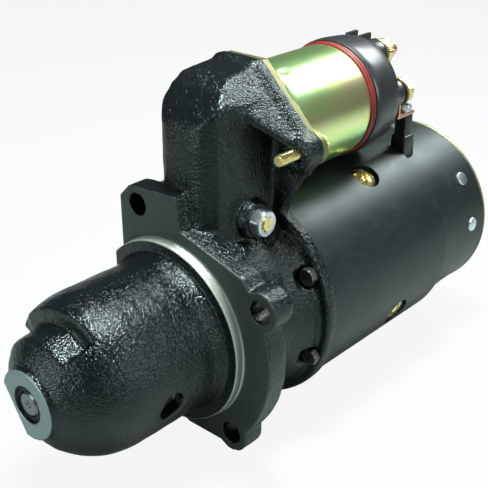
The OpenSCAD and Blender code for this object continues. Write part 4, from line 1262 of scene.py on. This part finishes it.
@dataclass
class Studio:
    """Camera, lamps, world and floor."""

    target: tuple[float, float, float] = (51.2, 0.0, 26.0)
    azimuth: float = -48.0
    elevation: float = 25.88
    roll: float = -0.11
    distance: float = 483.2
    lens: float = 70.54
    floor_z: float = -63.0
    floor_half: float = 6000.0
    floor_paper: Colour = (0.32, 0.35, 0.34)
    floor_glow: float = 0.9
    world_tint: Colour = (0.86, 0.93, 0.94)
    world_strength: float = 0.08
    white: Colour = (1.0, 1.0, 1.0)
    lamps: tuple[tuple[str, tuple[float, float, float], float, float, Colour], ...] = (
        ("key", (70.0, -40.0, 720.0), 150.0, 13.0, (0.92, 1.0, 1.0)),
        ("rear", (600.0, -60.0, 500.0), 260.0, 4.2, (0.92, 1.0, 1.0)),
        ("side", (-640.0, 100.0, 200.0), 320.0, 2.4, (0.88, 1.0, 0.98)),
        ("front", (160.0, -680.0, 300.0), 300.0, 2.2, (0.92, 1.0, 1.0)),
    )

    def camera(self) -> None:
        """Makes the camera at the photograph's place."""
        a, e = math.radians(self.azimuth), math.radians(self.elevation)
        back = Vector((math.sin(a) * math.cos(e), -math.cos(a) * math.cos(e), math.sin(e)))
        data = bpy.data.cameras.new("camera")
        data.lens = self.lens
        data.sensor_width = 36.0
        data.clip_start = 0.02
        obj = bpy.data.objects.new("camera", data)
        turn = back.to_track_quat("Z", "Y").to_matrix().to_4x4() @ Matrix.Rotation(math.radians(self.roll),
            4, "Z")
        obj.matrix_world = Matrix.Translation((Vector(self.target) + back * self.distance) * MM) @ turn
        bpy.context.scene.collection.objects.link(obj)
        bpy.context.scene.camera = obj

    def light(self) -> None:
        """Makes the soft lamps, all aimed at the motor's middle."""
        for name, place, size, power, colour in self.lamps:
            data = bpy.data.lights.new(name, "AREA")
            data.shape = "SQUARE"
            data.size = size * MM
            data.energy = power
            data.color = colour
            obj = bpy.data.objects.new(name, data)
            away = Vector(place) - Vector(self.target)
            obj.matrix_world = Matrix.Translation(Vector(place) * MM) @ away.to_track_quat("Z",
                "Y").to_matrix().to_4x4()
            bpy.context.scene.collection.objects.link(obj)

    def world(self) -> None:
        """Makes a dim grey world that the camera sees as white."""
        g = Graph(bpy.data.worlds.new("studio"))
        seen = g.out("ShaderNodeLightPath", output="Is Camera Ray")
        dim = g.out("ShaderNodeBackground", None, {"Color": (*self.world_tint, 1.0),
            "Strength": self.world_strength})
        white = g.out("ShaderNodeBackground", None, {"Color": (*self.white, 1.0), "Strength": 1.0})
        both = g.out("ShaderNodeMixShader", None, {0: seen, 1: dim, 2: white})
        bpy.context.scene.world = g.finish(both, "ShaderNodeOutputWorld")

    def floor(self) -> None:
        """Makes the plain pale floor."""
        g = Graph.of_material("floor_white")
        seen = g.out("ShaderNodeLightPath", output="Is Camera Ray")
        paper = g.out("ShaderNodeBsdfDiffuse", None, {"Color": (*self.floor_paper, 1.0)})
        glow = g.out("ShaderNodeEmission", None, {"Color": (*self.white, 1.0), "Strength": 1.0})
        material = g.finish(g.out("ShaderNodeMixShader", None, {0: seen * self.floor_glow, 1: paper,
            2: glow}))
        half = self.floor_half * MM
        mesh = bpy.data.meshes.new("floor")
        mesh.from_pydata([(-half, -half, 0), (half, -half, 0), (half, half, 0), (-half, half, 0)], [],
            [(0, 1, 2, 3)])
        obj = bpy.data.objects.new("floor", mesh)
        obj.location = (0.0, 0.0, self.floor_z * MM)
        mesh.materials.append(material)
        bpy.context.scene.collection.objects.link(obj)

    def build(self) -> None:
        """Builds the whole studio."""
        bpy.context.scene.view_settings.view_transform = "Standard"
        self.camera()
        self.world()
        self.light()
        self.floor()


def main() -> None:
    """Builds the motor's pieces in order."""
    logging.basicConfig(level=logging.INFO, format="%(name)s: %(message)s")
    finishes = Finishes()
    LOG.info("%d nodes dressed", finishes.dress_nodes())
    for assembly in (CastHousing(finishes), Solenoid(finishes), Terminals(finishes),
        TowerFasteners(finishes), MotorFasteners(finishes)):
        assembly.build()
        LOG.info("%s built", type(assembly).__name__)
    Studio().build()


if __name__ == "__main__":
    main()
